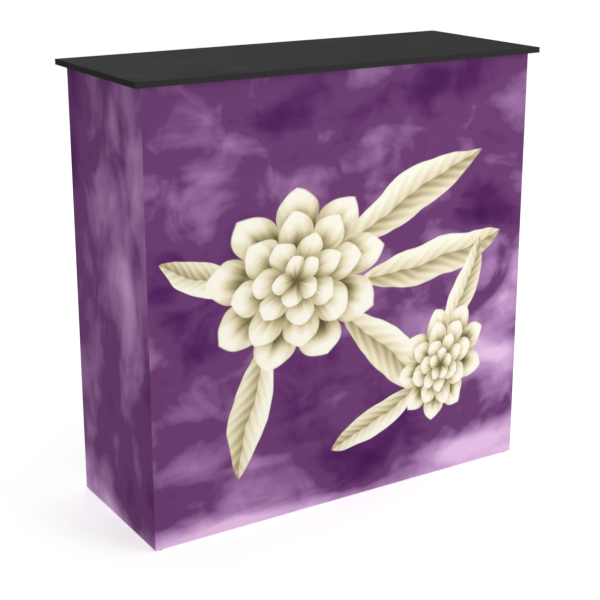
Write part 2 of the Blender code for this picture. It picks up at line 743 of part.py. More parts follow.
def build_fabric(cloth):
    """Front and side panels of the wrap, each turned over the rails and into the grooves."""
    height = FRAME_TOP - FRAME_BOTTOM
    top_hem = (height / 2 - FABRIC_THICKNESS, height / 2)
    bottom_hem = (-height / 2, FABRIC_THICKNESS - height / 2)
    across = (-FRAME_SIDE, FRAME_SIDE)
    front = fabric_panel(BODY_WIDTH, height, [(across, top_hem), (across, bottom_hem)])
    front_y = -(BODY_DEPTH - FABRIC_THICKNESS) / 2
    node("fabric_front", front, cloth, (0, front_y, MIDDLE_Z))
    side_width = BODY_DEPTH - FABRIC_THICKNESS - SEAT_GAP
    side_y = (BODY_DEPTH - side_width) / 2
    upright = (-RUN_Z / 2, RUN_Z / 2)
    for side, sign in LEFT_RIGHT.items():
        ends = [sign * (y - side_y) for y in (FRAME_FRONT + GROOVE_INNER, MIDDLE_Y + RUN_Y / 2)]
        along = (min(ends), max(ends))
        edge = (side_width / 2 - FABRIC_THICKNESS, side_width / 2)
        back_hem = edge if sign > 0 else (-edge[1], -edge[0])
        hems = [(along, top_hem), (along, bottom_hem), (back_hem, upright)]
        panel = fabric_panel(side_width, height, hems)
        turn = Matrix(((0, sign, 0), (-sign, 0, 0), (0, 0, 1))).transposed()
        place = (sign * (BODY_WIDTH - FABRIC_THICKNESS) / 2, side_y, MIDDLE_Z)
        node(f"fabric_{side}", panel, cloth, place, turn)


def build_beads(silicone):
    """The silicone beads: one round each end of the wrap, and one down each back edge."""
    back = MIDDLE_Y + RUN_Y / 2
    outer, inner = [
        [
            (FRAME_SIDE - inset, back),
            (FRAME_SIDE - inset, FRAME_FRONT + inset),
            (inset - FRAME_SIDE, FRAME_FRONT + inset),
            (inset - FRAME_SIDE, back),
        ]
        for inset in (GROOVE_LIP + BEAD_CLEARANCE, GROOVE_LIP + BEAD_CLEARANCE + BEAD_WIDTH)
    ]
    sunk = REBATE + BEAD_DEPTH / 2
    for level, z in {"bottom": FRAME_BOTTOM + sunk, "top": FRAME_TOP - sunk}.items():
        node(f"bead_{level}", prism([outer + inner[::-1]], BEAD_DEPTH), silicone, (0, 0, z))
    inset = GROOVE_LIP + BEAD_CLEARANCE + BEAD_WIDTH / 2
    for side, sign in LEFT_RIGHT.items():
        strip = mesh_from(block_bmesh((BEAD_WIDTH, BEAD_DEPTH, RUN_Z)))
        place = (sign * (FRAME_SIDE - inset), FRAME_BACK - sunk, MIDDLE_Z)
        node(f"bead_back_{side}", strip, silicone, place)


def build_deck(laminate):
    """The floor board, notched round the posts and rebated for the liners."""
    side = INSIDE_SIDE + DECK_BEARING
    front = INSIDE_FRONT - DECK_BEARING
    back = DOOR_INNER - DECK_DOOR_CLEARANCE
    notch_x = INSIDE_SIDE - DECK_NOTCH_CLEARANCE
    notch_front = INSIDE_FRONT + DECK_NOTCH_CLEARANCE
    notch_back = INSIDE_BACK - DECK_NOTCH_CLEARANCE
    right_half = [
        (notch_x, front),
        (notch_x, notch_front),
        (side, notch_front),
        (side, notch_back),
        (notch_x, notch_back),
        (notch_x, back),
    ]
    outline = right_half + [(-x, y) for x, y in reversed(right_half)]
    rebate_x = LINER_SIDE - DECK_REBATE_CLEARANCE
    rebate_half = [
        (rebate_x, LINER_FRONT + DECK_REBATE_CLEARANCE),
        (rebate_x, back + CUT_OVERRUN),
        (side + CUT_OVERRUN, back + CUT_OVERRUN),
        (side + CUT_OVERRUN, front - CUT_OVERRUN),
    ]
    rebate_outline = rebate_half + [(-x, y) for x, y in reversed(rebate_half)]
    rebate = prism([rebate_outline], DECK_REBATE_DEPTH + CUT_OVERRUN)
    rebate.transform(Matrix.Translation((0, 0, DECK_TOP + (CUT_OVERRUN - DECK_REBATE_DEPTH) / 2)))
    place = (0, 0, (DECK_UNDERSIDE + DECK_TOP) / 2)
    panel = cut_in_place(prism([outline], DECK_THICKNESS), place, None, [rebate])
    node("deck", panel, laminate, place)


def build_liners(white):
    """The boards behind the lit space. The side ones are notched round the back top rail."""
    low = LINER_FOOT
    high = INSIDE_TOP + LINER_LAP
    width = 2 * (INSIDE_SIDE - SEAT_GAP)
    sheet = mesh_from(block_bmesh((width, LINER_THICKNESS, high - low)))
    node("liner_front", sheet, white, (0, LINER_FRONT - LINER_THICKNESS / 2, (low + high) / 2))
    front = LINER_FRONT + SEAT_GAP
    back = DOOR_INNER - LINER_DOOR_CLEARANCE
    notch = INSIDE_BACK - LINER_NOTCH_CLEARANCE
    shoulder = INSIDE_TOP - LINER_NOTCH_CLEARANCE
    outline = [
        (front, low),
        (back, low),
        (back, shoulder),
        (notch, shoulder),
        (notch, high),
        (front, high),
    ]
    upright = axes((0, 1, 0), (0, 0, 1)).to_4x4()
    for side, sign in LEFT_RIGHT.items():
        sheet = prism([outline], LINER_THICKNESS)
        sheet.transform(upright)
        node(f"liner_{side}", sheet, white, (sign * (LINER_SIDE + LINER_THICKNESS / 2), 0, 0))


def build_shelf(laminate, aluminium):
    """The shelf, and the angle under each end that is riveted to a side liner."""
    width = 2 * (LINER_SIDE - SHELF_SIDE_CLEARANCE)
    depth = SHELF_BACK - SHELF_FRONT
    middle = (SHELF_FRONT + SHELF_BACK) / 2
    shelf_z = SHELF_UNDERSIDE + SHELF_THICKNESS / 2
    node("shelf", board((width, depth, SHELF_THICKNESS)), laminate, (0, middle, shelf_z))
    corner_z = SHELF_UNDERSIDE - SEAT_GAP
    outline = [
        (0, 0),
        (0, -ANGLE_LEG),
        (ANGLE_WALL, -ANGLE_LEG),
        (ANGLE_WALL, -ANGLE_WALL),
        (ANGLE_LEG, -ANGLE_WALL),
        (ANGLE_LEG, 0),
    ]
    length = DOOR_INNER - LINER_FRONT - 2 * ANGLE_END_CLEARANCE
    angle_y = (DOOR_INNER + LINER_FRONT) / 2
    for side, sign in LEFT_RIGHT.items():
        section = [(-sign * x, z) for x, z in outline]
        bar = prism([section], length)
        bar.transform(Matrix.Rotation(math.pi / 2, 4, "X"))
        place = (sign * (LINER_SIDE - SEAT_GAP), angle_y, corner_z)
        node(f"shelf_angle_{side}", bar, aluminium, place)


def build_door(side, laminate, swing):
    """One door panel. The right one is drilled for the lock."""
    sign = LEFT_RIGHT[side]
    width = DOOR_HINGE_EDGE - DOOR_FREE_EDGE
    height = DOOR_TOP - DOOR_BOTTOM
    middle = Vector((sign * (DOOR_HINGE_EDGE + DOOR_FREE_EDGE) / 2, 0, 0))
    middle.y = FRAME_BACK - DOOR_THICKNESS / 2
    middle.z = (DOOR_TOP + DOOR_BOTTOM) / 2
    panel = board((width, DOOR_THICKNESS, height))
    if side == "right":
        drill = rod(LOCK_BARREL_RADIUS + LOCK_CLEARANCE, DOOR_THICKNESS + 2 * CUT_OVERRUN, FINE_SIDES)
        hole = Vector((LOCK_X, middle.y, LOCK_ABOVE_FLOOR)) - middle
        drill = moved(drill, hole, Matrix.Rotation(math.pi / 2, 3, "X"))
        panel = combined(panel, [drill], "DIFFERENCE")
    node(f"door_{side}", panel, laminate, middle, parent=swing)


def knuckle_middles(first):
    """Heights of every second knuckle of a hinge, from its middle."""
    pitch = HINGE_LENGTH / HINGE_KNUCKLES
    places = range(first, HINGE_KNUCKLES, 2)
    return [(number + 1 / 2) * pitch - HINGE_LENGTH / 2 for number in places]


def leaf_plate():
    """The flat of a leaf that lies towards local +X, clear of the other leaf's knuckles."""
    start = HINGE_KNUCKLE_RADIUS + HINGE_CLEARANCE
    width = HINGE_LEAF_WIDTH - start
    plate = mesh_from(block_bmesh((width, HINGE_LEAF_THICKNESS, HINGE_LENGTH)))
    return moved(plate, (start + width / 2, HINGE_LEAF_THICKNESS / 2 - HINGE_KNUCKLE_RADIUS, 0))


def knuckle_height():
    """The height of one knuckle."""
    return HINGE_LENGTH / HINGE_KNUCKLES - HINGE_CLEARANCE


def knuckle(z):
    """One solid knuckle at a height."""
    return moved(rod(HINGE_KNUCKLE_RADIUS, knuckle_height(), HINGE_SIDES), (0, 0, z))


def knuckle_web(z):
    """The strip that rolls from the flat of the leaf into a knuckle."""
    reach = HINGE_KNUCKLE_RADIUS + HINGE_CLEARANCE + HINGE_LEAF_THICKNESS
    web = mesh_from(block_bmesh((reach, HINGE_LEAF_THICKNESS - SEAT_GAP, knuckle_height())))
    sunk = (HINGE_LEAF_THICKNESS - SEAT_GAP) / 2 - HINGE_KNUCKLE_RADIUS
    return moved(web, (reach / 2, sunk + SEAT_GAP / 2, z))


def frame_leaf():
    """The leaf on the post, with its knuckles and the pin that is riveted in them."""
    tools = []
    for z in knuckle_middles(0):
        tools += [knuckle_web(z), knuckle(z)]
    tools.append(rod(HINGE_PIN_RADIUS, HINGE_LENGTH - 2 * HINGE_CLEARANCE, HINGE_SIDES))
    return combined(leaf_plate(), tools, "UNION")


def door_leaf():
    """The leaf on the door, with its knuckles bored for the pin."""
    tools = []
    for z in knuckle_middles(1):
        tools += [knuckle_web(z), knuckle(z)]
    leaf = combined(leaf_plate(), tools, "UNION")
    leaf.transform(Matrix.Scale(-1, 4, (1, 0, 0)))
    leaf.flip_normals()
    bore = rod(HINGE_PIN_RADIUS + HINGE_CLEARANCE, HINGE_LENGTH + 2 * CUT_OVERRUN, HINGE_SIDES)
    return combined(leaf, [bore], "DIFFERENCE")


def build_hinges(steel, swings):
    """One hinge to a door. The left one is the right one turned upside down."""
    on_frame = frame_leaf()
    on_door = door_leaf()
    for side, sign in LEFT_RIGHT.items():
        turn = Matrix.Rotation(0 if sign > 0 else math.pi, 3, "Y")
        place = (sign * HINGE_X, HINGE_Y, (DOOR_TOP + DOOR_BOTTOM) / 2)
        node(f"hinge_frame_leaf_{side}", on_frame, steel, place, turn)
        node(f"hinge_door_leaf_{side}", on_door, steel, place, turn, swings[side])


def build_knobs(steel, swings):
    """A turned knob on each door."""
    head = KNOB_HEIGHT - KNOB_HEAD_THICKNESS
    crown = KNOB_HEAD_THICKNESS / 2
    outline = [
        (0, 0),
        (KNOB_BASE_RADIUS, 0),
        (KNOB_BASE_RADIUS, KNOB_BASE_THICKNESS),
        (KNOB_NECK_RADIUS, 2 * KNOB_BASE_THICKNESS),
        (KNOB_NECK_RADIUS, head - crown / 2),
    ]
    for step in range(ARC_STEPS + 1):
        angle = math.pi / 2 * (2 * step / ARC_STEPS - 1)
        radius = KNOB_RADIUS - crown + crown * math.cos(angle)
        outline.append((radius, head + crown + crown * math.sin(angle)))
    outline.append((0, KNOB_HEIGHT))
    knob = turned(outline, FINE_SIDES)
    knob.transform(Matrix.Rotation(-math.pi / 2, 4, "X"))
    for side, sign in LEFT_RIGHT.items():
        x = sign * (DOOR_FREE_EDGE + KNOB_EDGE_DISTANCE)
        node(f"knob_{side}", knob, steel, (x, HARDWARE_SEAT, KNOB_ABOVE_FLOOR), parent=swings[side])


def arc(radius, start, end, steps, middle=(0, 0)):
    """Points along an arc, both ends included."""
    turns = [start + (end - start) * step / steps for step in range(steps + 1)]
    return [(middle[0] + radius * math.cos(t), middle[1] + radius * math.sin(t)) for t in turns]


def cam_outline(reach):
    """A cam that narrows from its round root to its round tip, which lies towards local +Y."""
    lean = math.asin((CAM_ROOT_RADIUS - CAM_TIP_RADIUS) / reach)
    root = arc(CAM_ROOT_RADIUS, math.pi - lean, 2 * math.pi + lean, 2 * ARC_STEPS)
    tip = arc(CAM_TIP_RADIUS, lean, math.pi - lean, ARC_STEPS, (0, reach))
    return root + tip


def build_lock(steel, swing, turn_axis):
    """The cam lock: a housing held by the door, and a plug and cam that turn in it."""
    proud = HARDWARE_SEAT - (DOOR_INNER - LOCK_BARREL_PROUD)
    bore = LOCK_PLUG_RADIUS + LOCK_CLEARANCE
    housing = turned(
        [
            (bore, -proud),
            (LOCK_BARREL_RADIUS, -proud),
            (LOCK_BARREL_RADIUS, 0),
            (LOCK_FLANGE_RADIUS, 0),
            (LOCK_FLANGE_RADIUS, LOCK_FLANGE_THICKNESS / 2),
            (LOCK_FLANGE_RADIUS - LOCK_FLANGE_THICKNESS / 2, LOCK_FLANGE_THICKNESS),
            (bore, LOCK_FLANGE_THICKNESS),
        ],
        FINE_SIDES,
    )
    facing = Matrix.Rotation(-math.pi / 2, 4, "X")
    housing.transform(facing)
    place = (LOCK_X, HARDWARE_SEAT, LOCK_ABOVE_FLOOR)
    node("lock_housing", housing, steel, place, parent=swing)

    plug_end = LOCK_FLANGE_THICKNESS - LOCK_PLUG_SUNK
    cam_face = -proud - LOCK_CLEARANCE
    plug_length = plug_end - cam_face + CAM_THICKNESS / 2
    plug = moved(rod(LOCK_PLUG_RADIUS, plug_length, FINE_SIDES), (0, 0, plug_end - plug_length / 2))
    reach = LOCK_EDGE_DISTANCE + DOOR_GAP + CAM_OVERLAP - CAM_TIP_RADIUS
    cam = prism([cam_outline(reach)], CAM_THICKNESS)
    cam = moved(cam, (0, 0, cam_face - CAM_THICKNESS / 2))
    keyway = mesh_from(block_bmesh((KEYWAY_WIDTH, KEYWAY_LENGTH, KEYWAY_DEPTH + CUT_OVERRUN)))
    keyway = moved(keyway, (0, 0, plug_end - (KEYWAY_DEPTH - CUT_OVERRUN) / 2))
    turning = combined(combined(plug, [cam], "UNION"), [keyway], "DIFFERENCE")
    turning.transform(facing)
    node("lock_cam", turning, steel, place, parent=turn_axis)


def guide_block():
    """A bolt guide: flat on the plate, round over the bolt, with the plate towards local +Y."""
    radius = BOLT_RADIUS + BOLT_CLEARANCE + GUIDE_WALL
    seat = BOLT_RADIUS + BOLT_CLEARANCE + BOLT_PLATE_THICKNESS / 2
    over = arc(radius, math.pi, 2 * math.pi, 2 * ARC_STEPS)
    return prism([over + [(radius, seat), (-radius, seat)]], GUIDE_HEIGHT)


def build_bolt(steel, swing, slide):
    """The slide bolt at the top of the left door: its plate with two guides, and the bolt."""
    upper = BOLT_END - GUIDE_ABOVE - GUIDE_HEIGHT / 2
    space = BOLT_TRAVEL + 2 * (BOLT_KNOB_RADIUS + BOLT_KNOB_CLEARANCE)
    lower = upper - GUIDE_HEIGHT - space
    bottom = lower - GUIDE_HEIGHT / 2
    plate_low = bottom - BOLT_PLATE_MARGIN
    plate_high = upper + GUIDE_HEIGHT / 2 + BOLT_PLATE_MARGIN - SEAT_GAP
    height = plate_high - plate_low
    middle = (plate_high + plate_low) / 2
    size = (BOLT_PLATE_WIDTH, BOLT_PLATE_THICKNESS, height)
    plate_y = BOLT_PLATE_Y - BOLT_PLATE_THICKNESS / 2 - BOLT_Y
    plate = moved(mesh_from(block_bmesh(size)), (0, plate_y, 0))
    guides = [moved(guide_block(), (0, 0, z - middle)) for z in (lower, upper)]
    plate = combined(plate, guides, "UNION")
    bore = rod(BOLT_RADIUS + BOLT_CLEARANCE, height + 2 * CUT_OVERRUN)
    plate = combined(plate, [bore], "DIFFERENCE")
    node("bolt_plate", plate, steel, (BOLT_X, BOLT_Y, middle), parent=swing)

    tail = bottom - BOLT_TAIL
    length = BOLT_END - tail
    centre = (BOLT_END + tail) / 2
    shaft = rod(BOLT_RADIUS, length, chamfer=BOLT_TIP_CHAMFER)
    grip = rod(BOLT_KNOB_RADIUS, BOLT_KNOB_LENGTH, chamfer=BOLT_KNOB_CLEARANCE)
    knob_z = lower + GUIDE_HEIGHT / 2 + BOLT_KNOB_CLEARANCE + BOLT_KNOB_RADIUS
    facing = Matrix.Rotation(math.pi / 2, 3, "X")
    grip = moved(grip, (0, -BOLT_KNOB_LENGTH / 2, knob_z - centre), facing)
    shaft = combined(shaft, [grip], "UNION")
    node("bolt_pin", shaft, steel, (BOLT_X, BOLT_Y, centre), parent=slide)


def lens():
    """A domed lens that starts inside the bar it stands on."""
    outline = [(0, -LENS_ROOT), (LENS_RADIUS, -LENS_ROOT), (LENS_RADIUS, LENS_RIM)]
    for step in range(1, ARC_STEPS // 2):
        turn = math.pi * step / ARC_STEPS
        outline.append((LENS_RADIUS * math.cos(turn), LENS_RIM + LENS_CROWN * math.sin(turn)))
    outline.append((0, LENS_RIM + LENS_CROWN))
    return turned(outline, LENS_SIDES)


def lamp_bar(length):
    """A lamp bar along local X with its lenses upwards, its underside at z = 0."""
    half = LAMP_BAR_WIDTH / 2
    near = half - LAMP_BAR_CHAMFER
    shoulder = LAMP_BAR_HEIGHT - LAMP_BAR_CHAMFER
    section = [
        (-half, 0),
        (half, 0),
        (half, shoulder),
        (near, LAMP_BAR_HEIGHT),
        (-near, LAMP_BAR_HEIGHT),
        (-half, shoulder),
    ]
    bar = prism([section], length)
    bar.transform(axes((0, 1, 0), (0, 0, 1)).to_4x4())
    count = int((length - LENS_PITCH) / LENS_PITCH) + 1
    first = -LENS_PITCH * (count - 1) / 2
    places = [(first + LENS_PITCH * number, 0, LAMP_BAR_HEIGHT) for number in range(count)]
    return combined(bar, [moved(lens(), place) for place in places], "UNION")


def build_lamps(white):
    """One lamp bar on each covered bottom rail."""
    inset = LAMP_BAR_INSET + LAMP_BAR_WIDTH / 2
    bar = lamp_bar(RUN_X - 2 * LAMP_END_CLEARANCE)
    node("lamp_bar_front", bar, white, (0, FRAME_FRONT + inset, LAMP_SEAT))
    bar = lamp_bar(RUN_Y - 2 * LAMP_END_CLEARANCE)
    turn = Matrix.Rotation(math.pi / 2, 3, "Z")
    for side, sign in LEFT_RIGHT.items():
        place = (sign * (FRAME_SIDE - inset), MIDDLE_Y, LAMP_SEAT)
        node(f"lamp_bar_{side}", bar, white, place, turn)


def build_driver(black):
    """The lamp driver, with an ear at each end that is screwed up to the deck."""
    body = board((DRIVER_LENGTH, DRIVER_DEPTH, DRIVER_HEIGHT), DRIVER_EDGE)
    ears = []
    holes = []
    ear_z = (DRIVER_HEIGHT - DRIVER_EAR_THICKNESS) / 2
    for sign in LEFT_RIGHT.values():
        size = (DRIVER_EAR_LENGTH + DRIVER_EDGE * 2, DRIVER_EAR_DEPTH, DRIVER_EAR_THICKNESS)
        middle = sign * (DRIVER_LENGTH + DRIVER_EAR_LENGTH) / 2 - sign * DRIVER_EDGE
        ears.append(moved(mesh_from(block_bmesh(size)), (middle, 0, ear_z)))
        hole = rod(DRIVER_EAR_HOLE_RADIUS, DRIVER_EAR_THICKNESS + 2 * CUT_OVERRUN)
        holes.append(moved(hole, (sign * (DRIVER_LENGTH + DRIVER_EAR_LENGTH) / 2, 0, ear_z)))
    body = combined(combined(body, ears, "UNION"), holes, "DIFFERENCE")
    place = (INLET_X, DRIVER_BACK - DRIVER_DEPTH / 2, DECK_UNDERSIDE - SEAT_GAP - DRIVER_HEIGHT / 2)
    node("lamp_driver", body, black, place)


def cut_corners(length, height, cut, lower_cut=0.0):
    """A rectangle's outline with its two upper and its two lower corners cut."""
    x = length / 2
    y = height / 2
    lower = [(-x, lower_cut - y), (lower_cut - x, -y), (x - lower_cut, -y), (x, lower_cut - y)]
    if not lower_cut:
        lower = [(-x, -y), (x, -y)]
    return lower + [(x, y - cut), (x - cut, y), (cut - x, y), (-x, y - cut)]


def sunk_prism(outline, depth, face, x):
    """A cutter that goes down from a face that looks along local +Z, at a distance in x."""
    cutter = prism([outline], depth + CUT_OVERRUN)
    return moved(cutter, (x, 0, face - (depth - CUT_OVERRUN) / 2))


def inlet_housing():
    """The inlet's housing: flange, body, the plug's well with its blades, and the rocker's well."""
    corner = INLET_FLANGE_CORNER
    outline = cut_corners(INLET_FLANGE_LENGTH, INLET_FLANGE_HEIGHT, corner, corner)
    flange = moved(prism([outline], INLET_FLANGE_THICKNESS), (0, 0, INLET_FLANGE_THICKNESS / 2))
    depth = INLET_BODY_DEPTH + INLET_FLANGE_THICKNESS / 2
    body = mesh_from(block_bmesh((INLET_BODY_LENGTH, INLET_BODY_HEIGHT, depth)))
    body = moved(body, (0, 0, INLET_FLANGE_THICKNESS / 2 - depth / 2))
    socket = cut_corners(SOCKET_LENGTH, SOCKET_HEIGHT, SOCKET_CORNER)
    well = sunk_prism(socket, SOCKET_DEPTH, INLET_FLANGE_THICKNESS, -SOCKET_SHIFT)
    x = ROCKER_WIDTH / 2 + ROCKER_CLEARANCE
    y = ROCKER_HALF_HEIGHT + ROCKER_END_CLEARANCE
    window = [(-x, -y), (x, -y), (x, y), (-x, y)]
    slot = sunk_prism(window, ROCKER_WELL_DEPTH, INLET_FLANGE_THICKNESS, ROCKER_SHIFT)
    housing = combined(combined(body, [flange], "UNION"), [well, slot], "DIFFERENCE")
    floor = INLET_FLANGE_THICKNESS - SOCKET_DEPTH
    blades = []
    for number in (-1, 0, 1):
        size = (CONTACT_WIDTH, CONTACT_HEIGHT, CONTACT_LENGTH + CUT_OVERRUN)
        lift = -CONTACT_LIFT if number else CONTACT_LIFT
        middle = (CONTACT_LENGTH - CUT_OVERRUN) / 2 + floor
        place = (number * CONTACT_SPACING - SOCKET_SHIFT, lift, middle)
        blades.append(moved(mesh_from(block_bmesh(size)), place))
    return combined(housing, blades, "UNION")


def build_inlet(black, tipping):
    """The mains inlet and the rocker switch beside it. Local Z points out of the rail."""
    housing = inlet_housing()
    housing.transform(Matrix.Rotation(-math.pi / 2, 4, "X") @ Matrix.Rotation(math.pi, 4, "Z"))
    node("power_inlet", housing, black, (INLET_X, HARDWARE_SEAT, RAIL_MIDDLE_Z))

    end = ROCKER_RISE + ROCKER_HALF_HEIGHT * math.tan(ROCKER_TILT)
    outline = [
        (-ROCKER_HALF_HEIGHT, end),
        (0, ROCKER_RISE),
        (ROCKER_HALF_HEIGHT, end),
        (ROCKER_HALF_HEIGHT, 0),
        (ROCKER_FOOT_HALF, -ROCKER_DROP),
        (-ROCKER_FOOT_HALF, -ROCKER_DROP),
        (-ROCKER_HALF_HEIGHT, 0),
    ]
    rocker = prism([[(y, x) for x, y in outline]], ROCKER_WIDTH)
    rocker.transform(Matrix.Rotation(ROCKER_TILT, 4, "X") @ axes((0, 1, 0), (0, 0, 1)).to_4x4())
    node("rocker_switch", rocker, black, tipping.location, parent=tipping)


def lead_side_y():
    """Where the leads to the side lamp bars cross the deck."""
    return DRIVER_FRONT - PLUG_DEPTH - LEAD_DIP


def rounded_route(points):
    """Straight runs between the points, joined by round bends."""
    route = [points[0]]
    for before, corner, after in zip(points, points[1:], points[2:]):
        back = before - corner
        onward = after - corner
        start = corner + back.normalized() * min(LEAD_BEND, back.length / 2)
        end = corner + onward.normalized() * min(LEAD_BEND, onward.length / 2)
        for step in range(BEND_STEPS + 1):
            t = step / BEND_STEPS
            place = start.lerp(corner, t).lerp(corner.lerp(end, t), t)
            if (place - route[-1]).length > WELD:
                route.append(place)
    return route + [points[-1]]


def lead(points):
    """A round lead along a route."""
    curve = bpy.data.curves.new("lead", "CURVE")
    curve.dimensions = "3D"
    curve.bevel_depth = LEAD_RADIUS
    curve.bevel_resolution = LEAD_SIDES
    curve.use_fill_caps = True
    route = rounded_route([Vector(point) for point in points])
    spline = curve.splines.new("POLY")
    spline.points.add(len(route) - 1)
    for place, point in zip(route, spline.points):
        point.co = (*place, 1)
    holder = bpy.data.objects.new("lead", curve)
    bpy.context.collection.objects.link(holder)
    ready = holder.evaluated_get(bpy.context.evaluated_depsgraph_get())
    mesh = bpy.data.meshes.new_from_object(ready)
    bpy.data.objects.remove(holder)
    bm = bmesh.new()
    bm.from_mesh(mesh)
    bmesh.ops.remove_doubles(bm, verts=bm.verts, dist=WELD)
    return mesh_from(bm, smooth=True)


def lead_end(near, outward):
    """The end of a route: down to the rail, through its inner wall, and up to the lamp bar."""
    outward = Vector(outward)
    wall = near + outward * LEAD_DIP
    wall.z = RAIL_MIDDLE_Z
    rise = wall + outward * (RAIL_SIZE - LEAD_RISE_INSET)
    top = rise.copy()
    top.z = LAMP_SEAT - SEAT_GAP
    return [near, wall - outward * LEAD_BEND, rise, top]


def build_leads(rubber):
    """The loom: one plug in the driver, and a lead to each lamp bar, held up to the deck."""
    plug_y = DRIVER_FRONT - SEAT_GAP - PLUG_DEPTH / 2
    plug_z = LEAD_RUN_Z + LEAD_RADIUS - PLUG_HEIGHT / 2
    plug = moved(board((PLUG_LENGTH, PLUG_DEPTH, PLUG_HEIGHT)), (INLET_X, plug_y, plug_z))
    out_y = plug_y - PLUG_DEPTH
    across_y = lead_side_y()
    routes = []
    for sign in (-1, 0, 1):
        x = INLET_X + sign * LEAD_SPREAD
        route = [(x, plug_y, plug_z), (x, out_y, plug_z), (x, out_y - LEAD_BEND, LEAD_RUN_Z)]
        if sign:
            route.append((x, across_y, LEAD_RUN_Z))
            near = Vector((sign * (INSIDE_SIDE - LEAD_DIP), across_y, LEAD_RUN_Z))
            route += lead_end(near, (sign, 0, 0))
        else:
            near = Vector((x, INSIDE_FRONT + LEAD_DIP, LEAD_RUN_Z))
            route += lead_end(near, (0, -1, 0))
        routes.append(route)
    leads = [lead(route) for route in routes]
    node("lamp_leads", combined(plug, leads, "UNION"), rubber, (0, 0, 0))


def main():
    """Build the counter."""
    for leftover in list(bpy.data.objects):
        bpy.data.objects.remove(leftover)

    charcoal = finish("charcoal_laminate", "3B3B3B", 0.55)
    aluminium = finish("anodised_aluminium", "BFC2C4", 0.35, 1.0)
    alloy = finish("cast_alloy", "9A9DA0", 0.5, 1.0)
    cloth = finish("printed_fabric", "673A6C", 0.85)
    silicone = finish("silicone", "D8D8D4", 0.6)
    pad = finish("foot_nylon", "1E1E1F", 0.5)
    white = finish("white_board", "E9E9E6", 0.6)
    housing = finish("black_housing", "202123", 0.45)
    beech = finish("beech", "C9A06C", 0.6)
    steel = finish("nickel_plated_steel", "B4B3AE", 0.3, 1.0)

    top = pivot("worktop_lift", (0, 0, WORKTOP_UNDERSIDE))
    swings = {
        side: pivot(f"door_swing_{side}", (sign * HINGE_X, HINGE_Y, 0))
        for side, sign in LEFT_RIGHT.items()
    }
    turn_axis = pivot("lock_turn", (LOCK_X, HARDWARE_SEAT, LOCK_ABOVE_FLOOR), swings["right"])
    slide = pivot("bolt_slide", (BOLT_X, BOLT_Y, BOLT_END), swings["left"])
    pivot_y = INLET_FACE - ROCKER_PIVOT_DEPTH
    tipping = pivot("rocker_tip", (INLET_X - ROCKER_SHIFT, pivot_y, RAIL_MIDDLE_Z))

    build_worktop(charcoal, beech, top)
    build_corners(alloy, pad)
    build_rails(aluminium)
    build_posts(aluminium)
    build_fabric(cloth)
    build_beads(silicone)
    build_deck(charcoal)
    build_liners(white)
    build_lamps(white)
    build_driver(housing)
    build_inlet(housing, tipping)
    build_leads(housing)
    build_shelf(charcoal, aluminium)
    for side in LEFT_RIGHT:
        build_door(side, charcoal, swings[side])
    build_hinges(steel, swings)
    build_knobs(steel, swings)
    build_lock(steel, swings["right"], turn_axis)
    build_bolt(steel, swings["left"], slide)


main()
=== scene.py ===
"""Backlit exhibition counter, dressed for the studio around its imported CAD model.

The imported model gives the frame, boards, doors and fittings. This script gives every
carried piece its finish, stretches the printed wrap over the frame, and adds the turned
knobs, the lock's ring, the screws, the rivets and the marks on the rocker.
"""

from __future__ import annotations

import logging
import math
from collections.abc import Mapping, Sequence
from dataclasses import dataclass
from enum import Enum
from typing import Union

import bmesh
import bpy
from mathutils import Matrix, Vector


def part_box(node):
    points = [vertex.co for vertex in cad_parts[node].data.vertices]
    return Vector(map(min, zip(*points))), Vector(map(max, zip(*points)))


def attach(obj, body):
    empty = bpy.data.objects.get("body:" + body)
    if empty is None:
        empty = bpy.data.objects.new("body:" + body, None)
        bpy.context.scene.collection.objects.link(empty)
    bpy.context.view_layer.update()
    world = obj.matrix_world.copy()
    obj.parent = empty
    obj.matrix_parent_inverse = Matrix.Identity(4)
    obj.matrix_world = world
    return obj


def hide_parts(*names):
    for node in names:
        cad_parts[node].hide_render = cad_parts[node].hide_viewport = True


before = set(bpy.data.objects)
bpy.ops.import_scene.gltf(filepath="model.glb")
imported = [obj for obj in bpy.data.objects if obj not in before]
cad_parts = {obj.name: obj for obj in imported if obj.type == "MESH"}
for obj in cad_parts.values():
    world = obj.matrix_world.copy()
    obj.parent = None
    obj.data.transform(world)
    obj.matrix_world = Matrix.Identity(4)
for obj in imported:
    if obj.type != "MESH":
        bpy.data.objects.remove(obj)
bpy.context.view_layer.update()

LOG = logging.getLogger("counter")
MM = 0.001
MIDDLING = (0.3, 0.7)  # the range that nearly all of a noise lies in
ALIGNED = 0.99  # the cosine of two ways that are the same
SIDE_SHARE = 0.45  # a round takes less than half of a side, which leaves room for the next
WRAP_MAP = "wrap"  # the cloth's UV map, in metres along it and up it
WAVES_TO_SCALE = 0.314  # a wave texture's scale for one wave to a metre
HEAD_STEPS = 24  # round a screw's or a rivet's head
RING_STEPS = 72  # round a knob or the lock's ring
Y, Z = 1, 2  # as places in a vector

Pair = tuple[float, float]
Triple = tuple[float, float, float]
Colour = tuple[float, float, float, float]
WHITE: Colour = (1.0, 1.0, 1.0, 1.0)
Stops = Sequence[tuple[float, str]]  # a ramp's positions and sRGB hex colours
Plug = Union[bpy.types.Node, bpy.types.NodeSocket, float, Sequence[float]]  # feeds an input
Inputs = Union[Mapping[Union[int, str], Plug], Sequence[Plug]]
Form = tuple[bpy.types.Node, bpy.types.Node]  # where a printed form lies, and its ink's tone


